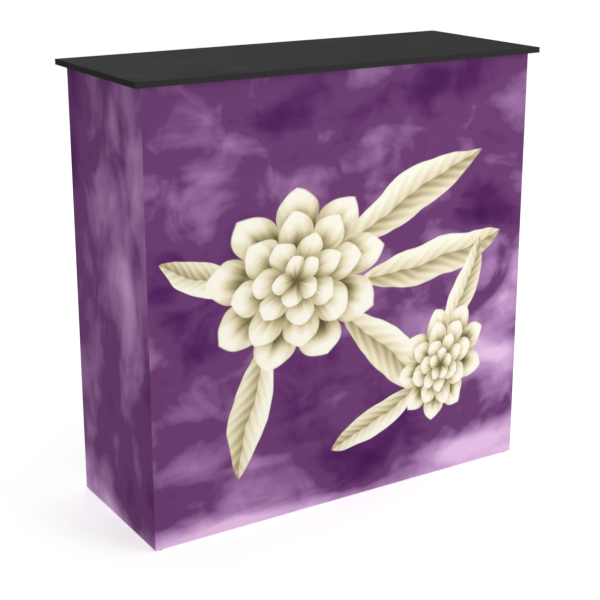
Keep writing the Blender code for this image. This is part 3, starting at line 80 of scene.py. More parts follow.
def srgb(hex_colour: str) -> Colour:
    """Turn an sRGB hex colour into a linear one.

    Args:
        hex_colour: Six hex digits.

    Returns:
        Linear red, green, blue and an alpha of one.
    """
    channels = [int(hex_colour[i : i + 2], 16) / 255 for i in (0, 2, 4)]
    bent = [c / 12.92 if c <= 0.04045 else ((c + 0.055) / 1.055) ** 2.4 for c in channels]
    return (bent[0], bent[1], bent[2], 1.0)


class Graph:
    """The nodes of a material or of the world."""

    def __init__(self, tree: bpy.types.NodeTree) -> None:
        """Take the tree that the nodes are in."""
        self.nodes = tree.nodes
        self.links = tree.links

    def add(self, kind: str, inputs: Inputs = (), stops: Stops = (),
            **settings: object) -> bpy.types.Node:
        """Add a node with its settings and links.

        Args:
            kind: What follows "ShaderNode" in the node's type, and its operation after a dot.
            inputs: A node, socket or value for each input, in order or by index or name.
            stops: Positions and sRGB hex colours, where the node is a ramp.
            settings: Properties of the node.

        Returns:
            The new node.
        """
        kind, _, operation = kind.partition(".")
        node = self.nodes.new("ShaderNode" + kind)
        if operation:
            node.operation = operation
        for key, value in settings.items():
            setattr(node, key, value)
        for number, (position, colour) in enumerate(stops):
            elements = node.color_ramp.elements
            element = elements[number] if number < 2 else elements.new(position)
            element.position = position
            element.color = srgb(colour)
        self.feed(node, inputs)
        return node

    def feed(self, node: bpy.types.Node, inputs: Inputs) -> None:
        """Link or set a node's inputs.

        Args:
            node: The node that takes them.
            inputs: A node, socket or value for each input, in order or by index or name.
        """
        for key, value in inputs.items() if isinstance(inputs, Mapping) else enumerate(inputs):
            if isinstance(value, bpy.types.Node):
                value = value.outputs[2 if value.bl_idname == "ShaderNodeMix" else 0]
            if isinstance(value, bpy.types.NodeSocket):
                self.links.new(value, node.inputs[key])
            else:
                node.inputs[key].default_value = value


class FinishNodes(Graph):
    """The nodes of one finish, with its shader ready to take them."""

    def __init__(self, name: str, roughness: float, metallic: float = 0.0) -> None:
        """Start a material.

        Args:
            name: The material's name.
            roughness: Roughness where no node drives it.
            metallic: One for a metal.
        """
        self.material = bpy.data.materials.new(name)
        self.material.use_nodes = True
        super().__init__(self.material.node_tree)
        self.shader = self.nodes["Principled BSDF"]
        self.paint(Roughness=roughness, Metallic=metallic)

    def paint(self, **inputs: Plug) -> bpy.types.Material:
        """Feed the shader by its inputs' names, with _ for a space, and give the material."""
        self.feed(self.shader, {key.replace("_", " "): value for key, value in inputs.items()})
        return self.material

    def skin(self, grain: float, rough: Sequence[float], depth: float, detail: float = 2.0,
             strength: float = 0.5, place: Plug | None = None) -> tuple[bpy.types.Node, ...]:
        """Grain a surface, in its roughness and its relief.

        Args:
            grain: The size of a grain.
            rough: Roughness in the hollows and on the tops.
            depth: How deep the grain is.
            detail: How finely the grain breaks up.
            strength: How much of the depth shows.
            place: Where the grain lies, if its place on the counter is stretched.

        Returns:
            The grain, its roughness and its relief.
        """
        place = place or self.add("TexCoord").outputs["Object"]
        noise = self.add("TexNoise", {"Vector": place, "Scale": 1 / grain, "Detail": detail})
        level = self.add("MapRange", (noise, *MIDDLING, *rough))
        relief = self.add("Bump", {"Height": noise, "Distance": depth, "Strength": strength})
        return noise, level, relief

    def out_from(self, middle: Sequence[float], half: Sequence[float]) -> bpy.types.Node:
        """Measure how far a place lies out from the middle of a box.

        Args:
            middle: The box's middle.
            half: Half of its size.

        Returns:
            The distance, as a share of the way to the box's face.
        """
        off = self.add("TexCoord").outputs["Object"]
        off = self.add("VectorMath.SUBTRACT", (off, middle))
        off = self.add("VectorMath.ABSOLUTE", (off,))
        off = self.add("VectorMath.DIVIDE", (off, half))
        off = self.add("SeparateXYZ", (off,))
        far = self.add("Math.MAXIMUM", (off.outputs[0], off.outputs[1]))
        return self.add("Math.MAXIMUM", (far, off.outputs[2]))


class Run(Enum):
    """The way that an extrusion or a brushed strip runs, as a stretch of its pattern."""

    X = (0.02, 1.0, 1.0)
    Y = (1.0, 0.02, 1.0)
    Z = (1.0, 1.0, 0.02)


@dataclass(frozen=True)
class CharcoalLaminate:
    """Melamine-faced board in charcoal, pressed against a pebbled plate, with ABS edging.

    It looks matt and even, with a fine pebble and faint soft scuffs. The edging is a touch
    paler than the faces.
    """

    colour: str = "383838"
    pale: str = "3C3C3C"
    edge: str = "3D3D3D"
    pebble: float = 1.6 * MM
    scuff: float = 90 * MM
    lip: float = 0.4 * MM
    rough: Pair = (0.66, 0.82)
    depth: float = 0.06 * MM
    sheen: float = 0.01  # a dead-matt overlay shows hardly any of the usual gloss

    def make(self, node: str) -> bpy.types.Material:
        """Dress one board.

        Args:
            node: The board's CAD node, whose box places the edging.

        Returns:
            The board's material.
        """
        low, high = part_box(node)
        middle = (low + high) / 2
        thin = min(range(3), key=lambda axis: (high - low)[axis])
        half = [(high - low)[axis] / 2 - self.lip for axis in range(3)]
        half[thin] = 10.0  # a board has no edging on its two faces
        g = FinishNodes(f"charcoal_laminate_{node}", sum(self.rough) / 2)
        place = g.add("TexCoord").outputs["Object"]
        edge = g.add("Math.GREATER_THAN", (g.out_from(middle, half), 1.0))
        pebble = g.add("TexNoise", {"Vector": place, "Scale": 1 / self.pebble, "Detail": 2.0})
        relief = g.add("Bump", {"Height": pebble, "Distance": self.depth, "Strength": 0.5})
        scuff = g.add("TexNoise", {"Vector": place, "Scale": 1 / self.scuff, "Detail": 6.0,
                                   "Roughness": 0.62})
        face = g.add("ValToRGB", (scuff,), [(0.3, self.colour), (0.75, self.pale)])
        colour = g.add("Mix", {0: edge, 6: face, 7: srgb(self.edge)}, data_type="RGBA")
        rough = g.add("MapRange", (scuff, *MIDDLING, *self.rough))
        return g.paint(Base_Color=colour, Roughness=rough, Specular_IOR_Level=self.sheen,
                       Normal=relief)


@dataclass(frozen=True)
class AnodisedAluminium:
    """Extruded aluminium, natural anodised: satin, with faint die lines along its length."""

    colour: str = "C3C6C8"
    dull: str = "B4B8BB"
    line: float = 0.9 * MM
    depth: float = 0.03 * MM
    rough: Pair = (0.28, 0.40)
    cloud: float = 1 / 14  # the size of a paler patch, in metres

    def make(self, run: Run) -> bpy.types.Material:
        """Dress the extrusions of one direction.

        Args:
            run: The way that the die lines run.

        Returns:
            The material.
        """
        g = FinishNodes(f"anodised_aluminium_{run.name.lower()}", sum(self.rough) / 2, 1.0)
        place = g.add("TexCoord").outputs["Object"]
        stretched = g.add("Mapping", {0: place, "Scale": run.value})
        _, rough, die = g.skin(self.line, self.rough, self.depth, 3.0, 0.35, stretched)
        cloud = g.add("TexNoise", {"Vector": place, "Scale": 1 / self.cloud, "Detail": 3.0})
        colour = g.add("ValToRGB", (cloud,), list(zip(MIDDLING, (self.dull, self.colour))))
        return g.paint(Base_Color=colour, Roughness=rough, Normal=die)


@dataclass(frozen=True)
class CastAlloy:
    """Die-cast aluminium alloy, tumbled: grey, with soft edges and a fine skin."""

    colour: str = "9A9DA0"
    dark: str = "85888B"
    grain: float = 1.2 * MM
    depth: float = 0.05 * MM
    rough: Pair = (0.42, 0.58)

    def make(self) -> bpy.types.Material:
        """Make the material.

        Returns:
            The material.
        """
        g = FinishNodes("tumbled_die_cast_aluminium", sum(self.rough) / 2, 1.0)
        grain, rough, relief = g.skin(self.grain, self.rough, self.depth, 3.0)
        colour = g.add("ValToRGB", (grain,), [(0.25, self.dark), (0.7, self.colour)])
        return g.paint(Base_Color=colour, Roughness=rough, Normal=relief)


@dataclass(frozen=True)
class NickelPlate:
    """Steel with satin nickel plate, brushed round or along before plating."""

    colour: str = "BDBBB5"
    dark: str = "A8A69F"
    scratch: float = 0.7 * MM
    depth: float = 0.015 * MM
    rough: Pair = (0.20, 0.34)

    def make(self, run: Run) -> bpy.types.Material:
        """Dress the fittings that were brushed one way.

        Args:
            run: The way that the brushing runs.

        Returns:
            The material.
        """
        g = FinishNodes(f"satin_nickel_plate_{run.name.lower()}", sum(self.rough) / 2, 1.0)
        stretched = g.add("Mapping", {0: g.add("TexCoord").outputs["Object"], "Scale": run.value})
        brush, rough, line = g.skin(self.scratch, self.rough, self.depth, 2.0, 0.4, stretched)
        colour = g.add("ValToRGB", (brush,), list(zip(MIDDLING, (self.dark, self.colour))))
        return g.paint(Base_Color=colour, Roughness=rough, Normal=line)


@dataclass(frozen=True)
class MouldedPlastic:
    """Moulded plastic with a spark-eroded skin: even in colour, faintly grained."""

    name: str
    colour: str
    roughness: float
    grain: float = 0.8 * MM
    depth: float = 0.04 * MM
    spread: float = 0.06

    def make(self) -> bpy.types.Material:
        """Make the material.

        Returns:
            The material.
        """
        g = FinishNodes(self.name, self.roughness)
        span = (self.roughness - self.spread, self.roughness + self.spread)
        _, rough, relief = g.skin(self.grain, span, self.depth)
        return g.paint(Base_Color=srgb(self.colour), Roughness=rough, Normal=relief)


class Plastic(Enum):
    """The plain plastics, each with its colour, its roughness and, where it differs, its grain."""

    FOOT = MouldedPlastic("moulded_nylon", "1E1E1F", 0.5)  # black and satin
    BEAD = MouldedPlastic("silicone_bead", "D8D8D4", 0.55, 1.0 * MM, 0.02 * MM)  # milky, smooth
    LINER = MouldedPlastic("foamed_pvc_board", "E9E9E6", 0.6, 0.6 * MM, 0.02 * MM)  # matt white
    DRIVER = MouldedPlastic("moulded_abs", "202123", 0.45)  # black, a little glossy
    LEAD = MouldedPlastic("pvc_lead_sheath", "202123", 0.5, 1.5 * MM, 0.03 * MM)  # black, waxy


@dataclass(frozen=True)
class InletPlastic:
    """Moulded glass-filled nylon with nickel-plated brass blades in its socket.

    The plastic is black and faintly grained. The blades are bright and yellowish.
    """

    colour: str = "202123"
    blade: str = "C9BE9C"
    blades_aside: float = 8.5 * MM  # their middle from the flange's
    blades_half: Triple = (8.4 * MM, 7.4 * MM, 4.6 * MM)
    blades_depth: float = 7.2 * MM  # their middle behind the flange's face
    blade_rough: float = 0.22
    grain: float = 0.8 * MM
    depth: float = 0.04 * MM
    rough: Pair = (0.38, 0.52)

    def make(self) -> bpy.types.Material:
        """Make the material.

        Returns:
            The material.
        """
        low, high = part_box("power_inlet")
        middle = ((low.x + high.x) / 2 + self.blades_aside, high.y - self.blades_depth,
                  (low.z + high.z) / 2)
        g = FinishNodes("glass_filled_nylon_with_brass_blades", sum(self.rough) / 2)
        brass = g.add("Math.LESS_THAN", (g.out_from(middle, self.blades_half), 1.0))
        _, moulded, relief = g.skin(self.grain, self.rough, self.depth)
        rough = g.add("Mix", {0: brass, 2: moulded, 3: self.blade_rough}).outputs[0]
        colour = g.add("Mix", {0: brass, 6: srgb(self.colour), 7: srgb(self.blade)},
                       data_type="RGBA")
        return g.paint(Base_Color=colour, Roughness=rough, Metallic=brass, Normal=relief)


@dataclass(frozen=True)
class RockerPlastic:
    """Moulded black ABS whose two marks are pad printed: a white bar for on, a ring for off."""

    colour: str = "202123"
    print_colour: str = "E6E6E2"
    mark_rise: float = 3.7 * MM  # from the rocker's middle to a mark's
    bar_half: Pair = (0.28 * MM, 1.5 * MM)
    ring: float = 1.35 * MM
    ring_half: float = 0.28 * MM
    grain: float = 0.8 * MM
    depth: float = 0.03 * MM
    rough: Pair = (0.34, 0.46)

    def make(self) -> bpy.types.Material:
        """Make the material.

        Returns:
            The material.
        """
        low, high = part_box("rocker_switch")
        middle = (low + high) / 2
        g = FinishNodes("moulded_abs_with_printed_marks", sum(self.rough) / 2)
        off = g.add("TexCoord").outputs["Object"]
        off = g.add("VectorMath.SUBTRACT", (off, middle))
        split = g.add("SeparateXYZ", (off,))
        aside = g.add("Math.ABSOLUTE", (split.outputs[0],))
        above = g.add("Math.SUBTRACT", (split.outputs[2], self.mark_rise))
        above = g.add("Math.ABSOLUTE", (above,))
        narrow = g.add("Math.LESS_THAN", (aside, self.bar_half[0]))
        short = g.add("Math.LESS_THAN", (above, self.bar_half[1]))
        bar = g.add("Math.MULTIPLY", (narrow, short))
        below = g.add("Math.ADD", (split.outputs[2], self.mark_rise))
        reach = g.add("CombineXYZ", (aside, below))
        reach = g.add("VectorMath.LENGTH", (reach,)).outputs["Value"]
        ring = g.add("Math.COMPARE", (reach, self.ring, self.ring_half))
        outer = g.add("Math.GREATER_THAN", (split.outputs[1], 0.0))
        mark = g.add("Math.MAXIMUM", (bar, ring))
        mark = g.add("Math.MULTIPLY", (mark, outer))
        colour = g.add("Mix", {0: mark, 6: srgb(self.colour), 7: srgb(self.print_colour)},
                       data_type="RGBA")
        _, rough, relief = g.skin(self.grain, self.rough, self.depth)
        return g.paint(Base_Color=colour, Roughness=rough, Normal=relief)


@dataclass(frozen=True)
class Beech:
    """Turned beech: pale pinkish brown with short dark flecks along the grain."""

    colour: str = "D0A873"
    dark: str = "B98F5B"
    fleck: float = 1.5 * MM
    stretch: float = 0.25
    depth: float = 0.05 * MM
    roughness: float = 0.6

    def make(self) -> bpy.types.Material:
        """Make the material.

        Returns:
            The material.
        """
        g = FinishNodes("turned_beech", self.roughness)
        along = g.add("TexCoord").outputs["Object"]
        along = g.add("Mapping", {0: along, "Scale": (1.0, 1.0, self.stretch)})
        fleck = g.add("TexNoise", {"Vector": along, "Scale": 1 / self.fleck, "Detail": 3.0})
        colour = g.add("ValToRGB", (fleck,), [(0.35, self.dark), (0.55, self.colour)])
        pore = g.add("Bump", {"Height": fleck, "Distance": self.depth, "Strength": 0.3})
        return g.paint(Base_Color=colour, Normal=pore)


@dataclass(frozen=True)
class LensedBar:
    """A white powder-coated bar whose lenses are clear acrylic over yellow-white lamps."""

    coat: str = "ECECE8"
    lens: str = "F1EFDC"
    top: float = 41.35 * MM  # just over the bar's upper face
    coat_rough: float = 0.45
    lens_rough: float = 0.08

    def make(self) -> bpy.types.Material:
        """Make the material.

        Returns:
            The material.
        """
        g = FinishNodes("coated_bar_with_acrylic_lenses", self.coat_rough)
        height = g.add("SeparateXYZ", (g.add("TexCoord").outputs["Object"],)).outputs[2]
        on_lens = g.add("Math.GREATER_THAN", (height, self.top))
        colour = g.add("Mix", {0: on_lens, 6: srgb(self.coat), 7: srgb(self.lens)},
                       data_type="RGBA")
        rough = g.add("MapRange", {0: on_lens, 3: self.coat_rough, 4: self.lens_rough})
        return g.paint(Base_Color=colour, Roughness=rough)


@dataclass(frozen=True)
class Bloom:
    """One layered bloom of the print, in metres on the front panel."""

    across: float
    up: float
    radius: float
    turn: float
    flat: float = 0.88


@dataclass(frozen=True)
class Leaf:
    """One leaf of the print, from its stalk end, in metres on the front panel."""

    across: float
    up: float
    angle: float
    length: float
    half_width: float
    bend: float


@dataclass(frozen=True)
class Cloud:
    """One noise of the print. Its blotches are about a metre divided by its scale."""

    scale: float
    detail: float
    roughness: float
    distortion: float

    def inputs(self, place: Plug) -> dict[str, Plug]:
        """Give a noise node's inputs by name, for a place in metres on the cloth."""
        return {"Vector": place, "Scale": self.scale, "Detail": self.detail,
                "Roughness": self.roughness, "Distortion": self.distortion}


@dataclass(frozen=True)
class PrintedCloth:
    """Stretch polyester with a dye-sublimated print, matt, with a fine even knit.

    The ground is a soft violet cloud that pales to pink at its foot. The sides carry the
    same ground drawn out upwards. A spray of ivory blooms and leaves in sepia ink lies on
    the front.
    """

    half_front: float
    half_run: float
    foot: float
    head: float
    roughness: float = 0.82
    gloss: float = 0.02  # dyed polyester drinks its light, with hardly any gloss
    sheen: float = 0.01
    sheen_rough: float = 0.5
    glow: float = 0.33  # painted glow: the cloth gives off its own colours in place of the light of the lamps behind it, so it looks evenly lit
    seam: float = 3.6 * MM
    stitch: float = 3.2 * MM
    stitch_share: float = 0.72  # of a stitch's length that lies on top
    thread: str = "C9B6CC"
    thread_half: float = 0.35 * MM
    knit: float = 1.5 * MM  # a real wale is 0.4 mm, drawn coarser so that it shows up close
    loft: float = 0.12 * MM
    tones: Stops = (  # the ground's colours, from dark to pale
        (0.43, "451A4D"), (0.51, "582763"), (0.58, "6D3E72"), (0.625, "6D3E72"),
        (0.69, "926698"), (0.81, "BC91C2"), (0.96, "E3C0E4"),
    )
    large: Cloud = Cloud(2.6, 2.0, 0.40, 0.3)
    small: Cloud = Cloud(8.0, 4.0, 0.55, 0.5)
    streaky: Cloud = Cloud(2.9, 3.0, 0.45, 0.5)
    dabbed: Cloud = Cloud(5.5, 3.0, 0.50, 0.8)
    shares: Triple = (0.50, 0.36, 0.34)  # of large, small and streaky
    streak_place: Triple = (5.3, 2.0, 0.0)
    streak_stretch: Triple = (1.0, 3.2, 1.0)
    side_place: Triple = (3.1, 0.4, 0.0)
    side_stretch: Triple = (1.2, 0.55, 1.0)
    dab_noise: Pair = (0.35, 0.65)
    dab_gain: Pair = (0.4, 1.6)
    foot_span: Pair = (0.02, -0.15)  # heights between which the foot pales
    foot_waver: float = -0.22
    foot_gain: float = 0.34
    hazes: tuple[tuple[float, float, float, float], ...] = (  # across, up, reach and gain
        (-0.57, 0.62, 0.34, 0.110),
        (0.47, 0.42, 0.41, 0.215),
        (0.44, 0.14, 0.30, 0.070),
        (0.14, 0.76, 0.28, 0.080),
        (-0.60, 0.45, 0.20, 0.080),
        (-0.84, 0.92, 0.30, -0.040),
        (0.58, 0.74, 0.26, 0.070),
        (-0.30, 0.26, 0.24, -0.030),
    )
    ink: Stops = (
        (0.0, "40371A"), (0.16, "7A7049"), (0.36, "BDB189"), (0.56, "E9DFC0"), (0.78, "FBF8E9"),
    )
    blooms: tuple[Bloom, ...] = (
        Bloom(-0.135, 0.555, 0.235, 0.2),
        Bloom(0.265, 0.285, 0.150, 1.1, 0.8),
    )
    leaves: tuple[Leaf, ...] = (
        Leaf(-0.03, 0.60, 32, 0.44, 0.052, -0.9),
        Leaf(0.02, 0.52, 4, 0.42, 0.050, 0.8),
        Leaf(-0.02, 0.46, -38, 0.40, 0.056, -0.7),
        Leaf(-0.20, 0.44, -112, 0.33, 0.050, 0.7),
        Leaf(-0.26, 0.56, 168, 0.22, 0.040, -0.8),
        Leaf(0.27, 0.34, 62, 0.26, 0.036, 0.8),
        Leaf(0.20, 0.24, -150, 0.27, 0.040, -0.7),
    )
    leaf_fullness: float = 0.75  # below one, a leaf stays wide towards its ends
    leaf_rim: float = 0.06
    leaf_shade: Pair = (0.02, 0.75)  # how far out its tone changes
    leaf_tone: Pair = (0.30, 0.62)  # at the midrib and at the rim
    lit_half: float = 0.20
    veins: float = 62.0  # radians of the veins' wave along a leaf
    vein_slant: float = 0.22
    vein_depth: float = 0.06
    petal_round: float = 0.42
    petal_reach: float = 0.36  # how far a petal's tip passes the notch beside it
    petal_rim: float = 0.975
    petal_shade: Pair = (0.9, 0.93)  # from where it is covered to its rim
    petal_tone: Pair = (0.12, 0.86)  # at its root and at its rim
    crease: float = 0.45  # what is left of its light in the notch beside it
    crease_reach: float = 0.7
    streaks: float = 7.0  # on each petal
    streak: float = 0.42  # how strongly they show
    waver: Cloud = Cloud(7.0, 2.0, 0.5, 0.0)
    waver_reach: float = 35 * MM
    layers: tuple[tuple[float, int, float, float], ...] = (
        (1.0, 9, 0.0, 0.66),
        (0.74, 8, 0.31, 0.52),
        (0.50, 7, 0.12, 0.36),
        (0.28, 5, 0.40, 0.0),
    )

    def ground(self, g: FinishNodes, place: bpy.types.NodeSocket) -> bpy.types.Node:
        """Draw the clouds of the ground.

        Args:
            g: The material's graph.
            place: Metres along the wrap and up it.

        Returns:
            The ground's colour.
        """
        split = g.add("SeparateXYZ", (place,))
        aside = g.add("Math.ABSOLUTE", (split.outputs[0],))
        side = g.add("Math.GREATER_THAN", (aside, self.half_front))
        drawn = g.add("Mapping", {0: place, "Location": self.side_place,
                                  "Scale": self.side_stretch})
        flow = g.add("Mix", {0: side, 4: place, 5: drawn}, data_type="VECTOR").outputs[1]
        streaks = g.add("Mapping", {0: flow, "Location": self.streak_place,
                                    "Scale": self.streak_stretch})
        large = g.add("TexNoise", self.large.inputs(flow))
        small = g.add("TexNoise", self.small.inputs(flow))
        streaks = g.add("TexNoise", self.streaky.inputs(streaks))
        tone: Plug = 0.0
        for noise, share in zip((large, small, streaks), self.shares):
            tone = g.add("Math.MULTIPLY_ADD", (noise, share, tone))
        haze: Plug = 0.0
        for across, up, reach, gain in self.hazes:
            away = g.add("VectorMath.DISTANCE", (place, (across, up, 0.0)))
            soft = g.add("MapRange", (away.outputs["Value"], 0.0, reach, gain, 0.0),
                         interpolation_type="SMOOTHSTEP")
            haze = g.add("Math.ADD", (soft, haze))
        dabs = g.add("TexNoise", self.dabbed.inputs(flow))
        dabs = g.add("MapRange", (dabs, *self.dab_noise, *self.dab_gain))
        tone = g.add("Math.MULTIPLY_ADD", (haze, dabs, tone))
        foot = g.add("Math.MULTIPLY_ADD", (streaks, self.foot_waver, split.outputs[1]))
        foot = g.add("MapRange", (foot, *self.foot_span, 0.0, self.foot_gain),
                     interpolation_type="SMOOTHSTEP")
        tone = g.add("Math.ADD", (tone, foot))
        return g.add("ValToRGB", (tone,), self.tones)

    def leaf(self, g: FinishNodes, place: Plug, leaf: Leaf) -> Form:
        """Draw one leaf.

        Args:
            g: The material's graph.
            place: Metres on the front panel.
            leaf: The leaf.

        Returns:
            What is one where it lies, and how light its ink is.
        """
        local = g.add("Mapping", (place, (leaf.across, leaf.up, 0.0),
                                  (0.0, 0.0, math.radians(leaf.angle)),
                                  (leaf.length, leaf.half_width, 1.0)), vector_type="TEXTURE")
        split = g.add("SeparateXYZ", (local,))
        along = g.add("Clamp", (split.outputs[0],))
        bow = g.add("Math.MULTIPLY", (along, along))
        across = g.add("Math.MULTIPLY_ADD", (bow, -leaf.bend, split.outputs[1]))
        wide = g.add("Math.MULTIPLY", (along, math.pi))
        wide = g.add("Math.SINE", (wide,))
        wide = g.add("Math.POWER", (wide, self.leaf_fullness))
        off = g.add("Math.ABSOLUTE", (across,))
        rim = g.add("Math.SUBTRACT", (wide, off))
        mask = g.add("MapRange", (rim, 0.0, self.leaf_rim))
        slant = g.add("Math.MULTIPLY_ADD", (off, -self.vein_slant, along))
        vein = g.add("Math.MULTIPLY", (slant, self.veins))
        vein = g.add("Math.SINE", (vein,))
        tone = g.add("MapRange", (off, *self.leaf_shade, *self.leaf_tone))
        upper = g.add("Math.GREATER_THAN", (across, 0.0))
        tone = g.add("Math.MULTIPLY_ADD", (upper, self.lit_half, tone))
        tone = g.add("Math.MULTIPLY_ADD", (vein, self.vein_depth, tone))
        return mask, tone

    def layer(self, g: FinishNodes, place: Plug, bloom: Bloom,
              layer: tuple[float, int, float, float]) -> Form:
        """Draw one ring of petals.

        Args:
            g: The material's graph.
            place: Metres on the front panel.
            bloom: The bloom.
            layer: Its size, its count of petals, its turn, and where the next one covers it.

        Returns:
            What is one where the ring lies, and how light its ink is.
        """
        size, count, turn, covered = layer
        radius = bloom.radius * size
        local = g.add("Mapping", (place, (bloom.across, bloom.up, 0.0),
                                  (0.0, 0.0, bloom.turn + turn),
                                  (radius, radius * bloom.flat, 1.0)), vector_type="TEXTURE")
        reach = g.add("VectorMath.LENGTH", (local,)).outputs["Value"]
        angle = g.add("TexGradient", (local,), gradient_type="RADIAL").outputs["Fac"]
        petals = g.add("Math.MULTIPLY", (angle, float(count)))
        swing = g.add("Math.PINGPONG", (petals, 0.5))
        swing = g.add("Math.MULTIPLY", (swing, 2.0))
        edge = g.add("Math.POWER", (swing, self.petal_round))
        edge = g.add("Math.MULTIPLY_ADD", (edge, self.petal_reach, 1 - self.petal_reach))
        share = g.add("Math.DIVIDE", (reach, edge))
        mask = g.add("MapRange", (share, 1.0, self.petal_rim))
        rays = g.add("Math.MULTIPLY", (petals, self.streaks))
        rays = g.add("CombineXYZ", (rays, reach, size * count))
        streak = g.add("TexNoise", {"Vector": rays, "Scale": 1.0, "Detail": 3.0})
        root, rim = self.petal_shade
        light = g.add("MapRange", (share, covered * root, rim, *self.petal_tone),
                      interpolation_type="SMOOTHSTEP")
        crease = g.add("MapRange", (swing, 0.0, self.crease_reach, self.crease, 1.0))
        tone = g.add("Math.MULTIPLY", (light, crease))
        streak = g.add("Math.SUBTRACT", (streak, 0.5))
        tone = g.add("Math.MULTIPLY_ADD", (streak, self.streak, tone))
        return mask, tone

    def stitched(self, g: FinishNodes, place: Plug, cloth: bpy.types.Node) -> bpy.types.Node:
        """Sew the hems down with a lockstitch.

        Args:
            g: The material's graph.
            place: Metres along the wrap and up it.
            cloth: The colour so far.

        Returns:
            The colour with the thread on it.
        """
        middle = (0.0, (self.foot + self.head) / 2, 0.0)
        off = g.add("VectorMath.SUBTRACT", (place, middle))
        off = g.add("VectorMath.ABSOLUTE", (off,))
        half = (self.half_run, (self.head - self.foot) / 2, 0.0)
        past = g.add("VectorMath.SUBTRACT", (off, half))
        past = g.add("SeparateXYZ", (past,))
        past = g.add("Math.MAXIMUM", (past.outputs[0], past.outputs[1]))
        line = g.add("Math.COMPARE", (past, self.seam, self.thread_half))
        run = g.add("SeparateXYZ", (place,))
        run = g.add("Math.ADD", (run.outputs[0], run.outputs[1]))
        step = g.add("Math.MULTIPLY", (run, 1 / self.stitch))
        step = g.add("Math.FRACT", (step,))
        dash = g.add("Math.LESS_THAN", (step, self.stitch_share))
        thread = g.add("Math.MULTIPLY", (line, dash))
        return g.add("Mix", {0: thread, 6: cloth, 7: srgb(self.thread)}, data_type="RGBA")

    def make(self) -> bpy.types.Material:
        """Make the material.

        Returns:
            The material.
        """
        g = FinishNodes("printed_stretch_polyester", self.roughness)
        place = g.add("UVMap", uv_map=WRAP_MAP).outputs[0]
        ground = self.ground(g, place)
        waver = g.add("TexNoise", self.waver.inputs(place))
        waver = g.add("VectorMath.SUBTRACT", (waver.outputs["Color"], (0.5, 0.5, 0.5)))
        reach = (self.waver_reach, self.waver_reach, 0.0)
        waver = g.add("VectorMath.MULTIPLY", (waver, reach))
        bent = g.add("VectorMath.ADD", (place, waver))
        forms = [self.leaf(g, bent, leaf) for leaf in self.leaves]
        forms += [self.layer(g, bent, bloom, layer)
                  for bloom in self.blooms[::-1] for layer in self.layers]
        colour = ground
        for mask, tone in forms:
            ink = g.add("ValToRGB", (tone,), self.ink)
            colour = g.add("Mix", {0: mask, 6: colour, 7: ink}, data_type="RGBA")
        front = g.add("SeparateXYZ", (place,))
        front = g.add("Math.ABSOLUTE", (front,))
        front = g.add("Math.LESS_THAN", (front, self.half_front))
        colour = g.add("Mix", {0: front, 6: ground, 7: colour}, data_type="RGBA")
        colour = self.stitched(g, place, colour)
        wales, rows = [
            g.add("TexWave", {"Vector": place, "Scale": WAVES_TO_SCALE / self.knit,
                              "Distortion": 0.6, "Detail": 1.0}, bands_direction=way)
            for way in ("X", "Y")
        ]
        knit = g.add("Math.MULTIPLY", (wales.outputs["Fac"], rows.outputs["Fac"]))
        loft = g.add("Bump", {"Height": knit, "Distance": self.loft, "Strength": 0.35})
        # the emission is a painted glow: the cloth's colour given off as light, standing in for
        # the lamps behind it
        return g.paint(Base_Color=colour, Emission_Color=colour, Emission_Strength=self.glow,
                       Sheen_Weight=self.sheen, Sheen_Roughness=self.sheen_rough,
                       Specular_IOR_Level=self.gloss, Normal=loft)


def mesh_of(name: str, bm: bmesh.types.BMesh) -> bpy.types.Mesh:
    """Turn a bmesh into a mesh.

    Args:
        name: The mesh's name.
        bm: Its shape. It is freed.

    Returns:
        The mesh.
    """
    mesh = bpy.data.meshes.new(name)
    bm.to_mesh(mesh)
    bm.free()
    return mesh


def linked(name: str, data: bpy.types.ID) -> bpy.types.Object:
    """Put an object in the scene.

    Args:
        name: Its name.
        data: Its mesh, lamp or camera.

    Returns:
        The object.
    """
    item = bpy.data.objects.new(name, data)
    bpy.context.scene.collection.objects.link(item)
    return item


def finished(name: str, bm: bmesh.types.BMesh, material: bpy.types.Material, body: str,
             smooth_below: float = 40.0) -> bpy.types.Object:
    """Turn a bmesh into a finished piece that rides on a body.

    Args:
        name: The piece's name.
        bm: Its shape, in place. It is freed.
        material: Its finish.
        body: The body that it moves with.
        smooth_below: Faces that meet at less than this many degrees are shaded smooth.

    Returns:
        The piece.
    """
    mesh = mesh_of(name, bm)
    mesh.shade_smooth()
    mesh.set_sharp_from_angle(angle=math.radians(smooth_below))
    mesh.materials.append(material)
    piece = linked(name, mesh)
    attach(piece, body)
    LOG.info("%s rides on %s, %d faces", name, body, len(mesh.polygons))
    return piece


def turned(outline: Sequence[Pair], steps: int) -> bmesh.types.BMesh:
    """Turn a solid about local Z.

    Args:
        outline: Radius and height of each point, from the axis back to the axis.
        steps: Steps of the spin.

    Returns:
        The closed shape.
    """
    bm = bmesh.new()
    points = [bm.verts.new((radius, 0.0, height)) for radius, height in outline]
    edges = [bm.edges.new(pair) for pair in zip(points, points[1:])]
    if outline[0][0] > 0:
        edges.append(bm.edges.new((points[-1], points[0])))
    bmesh.ops.spin(bm, geom=points + edges, cent=(0, 0, 0), axis=(0, 0, 1), angle=math.tau,
                   steps=steps, use_merge=True)
    bmesh.ops.remove_doubles(bm, verts=bm.verts, dist=0.001 * MM)
    bmesh.ops.recalc_face_normals(bm, faces=bm.faces)
    return bm


def on_the_back(bm: bmesh.types.BMesh, x: float, y: float, z: float) -> None:
    """Stand a turned shape on a face that looks backwards, with its foot's middle there."""
    turn = Matrix.Rotation(-math.pi / 2, 4, "X")
    bmesh.ops.transform(bm, verts=bm.verts, matrix=Matrix.Translation((x, y, z)) @ turn)


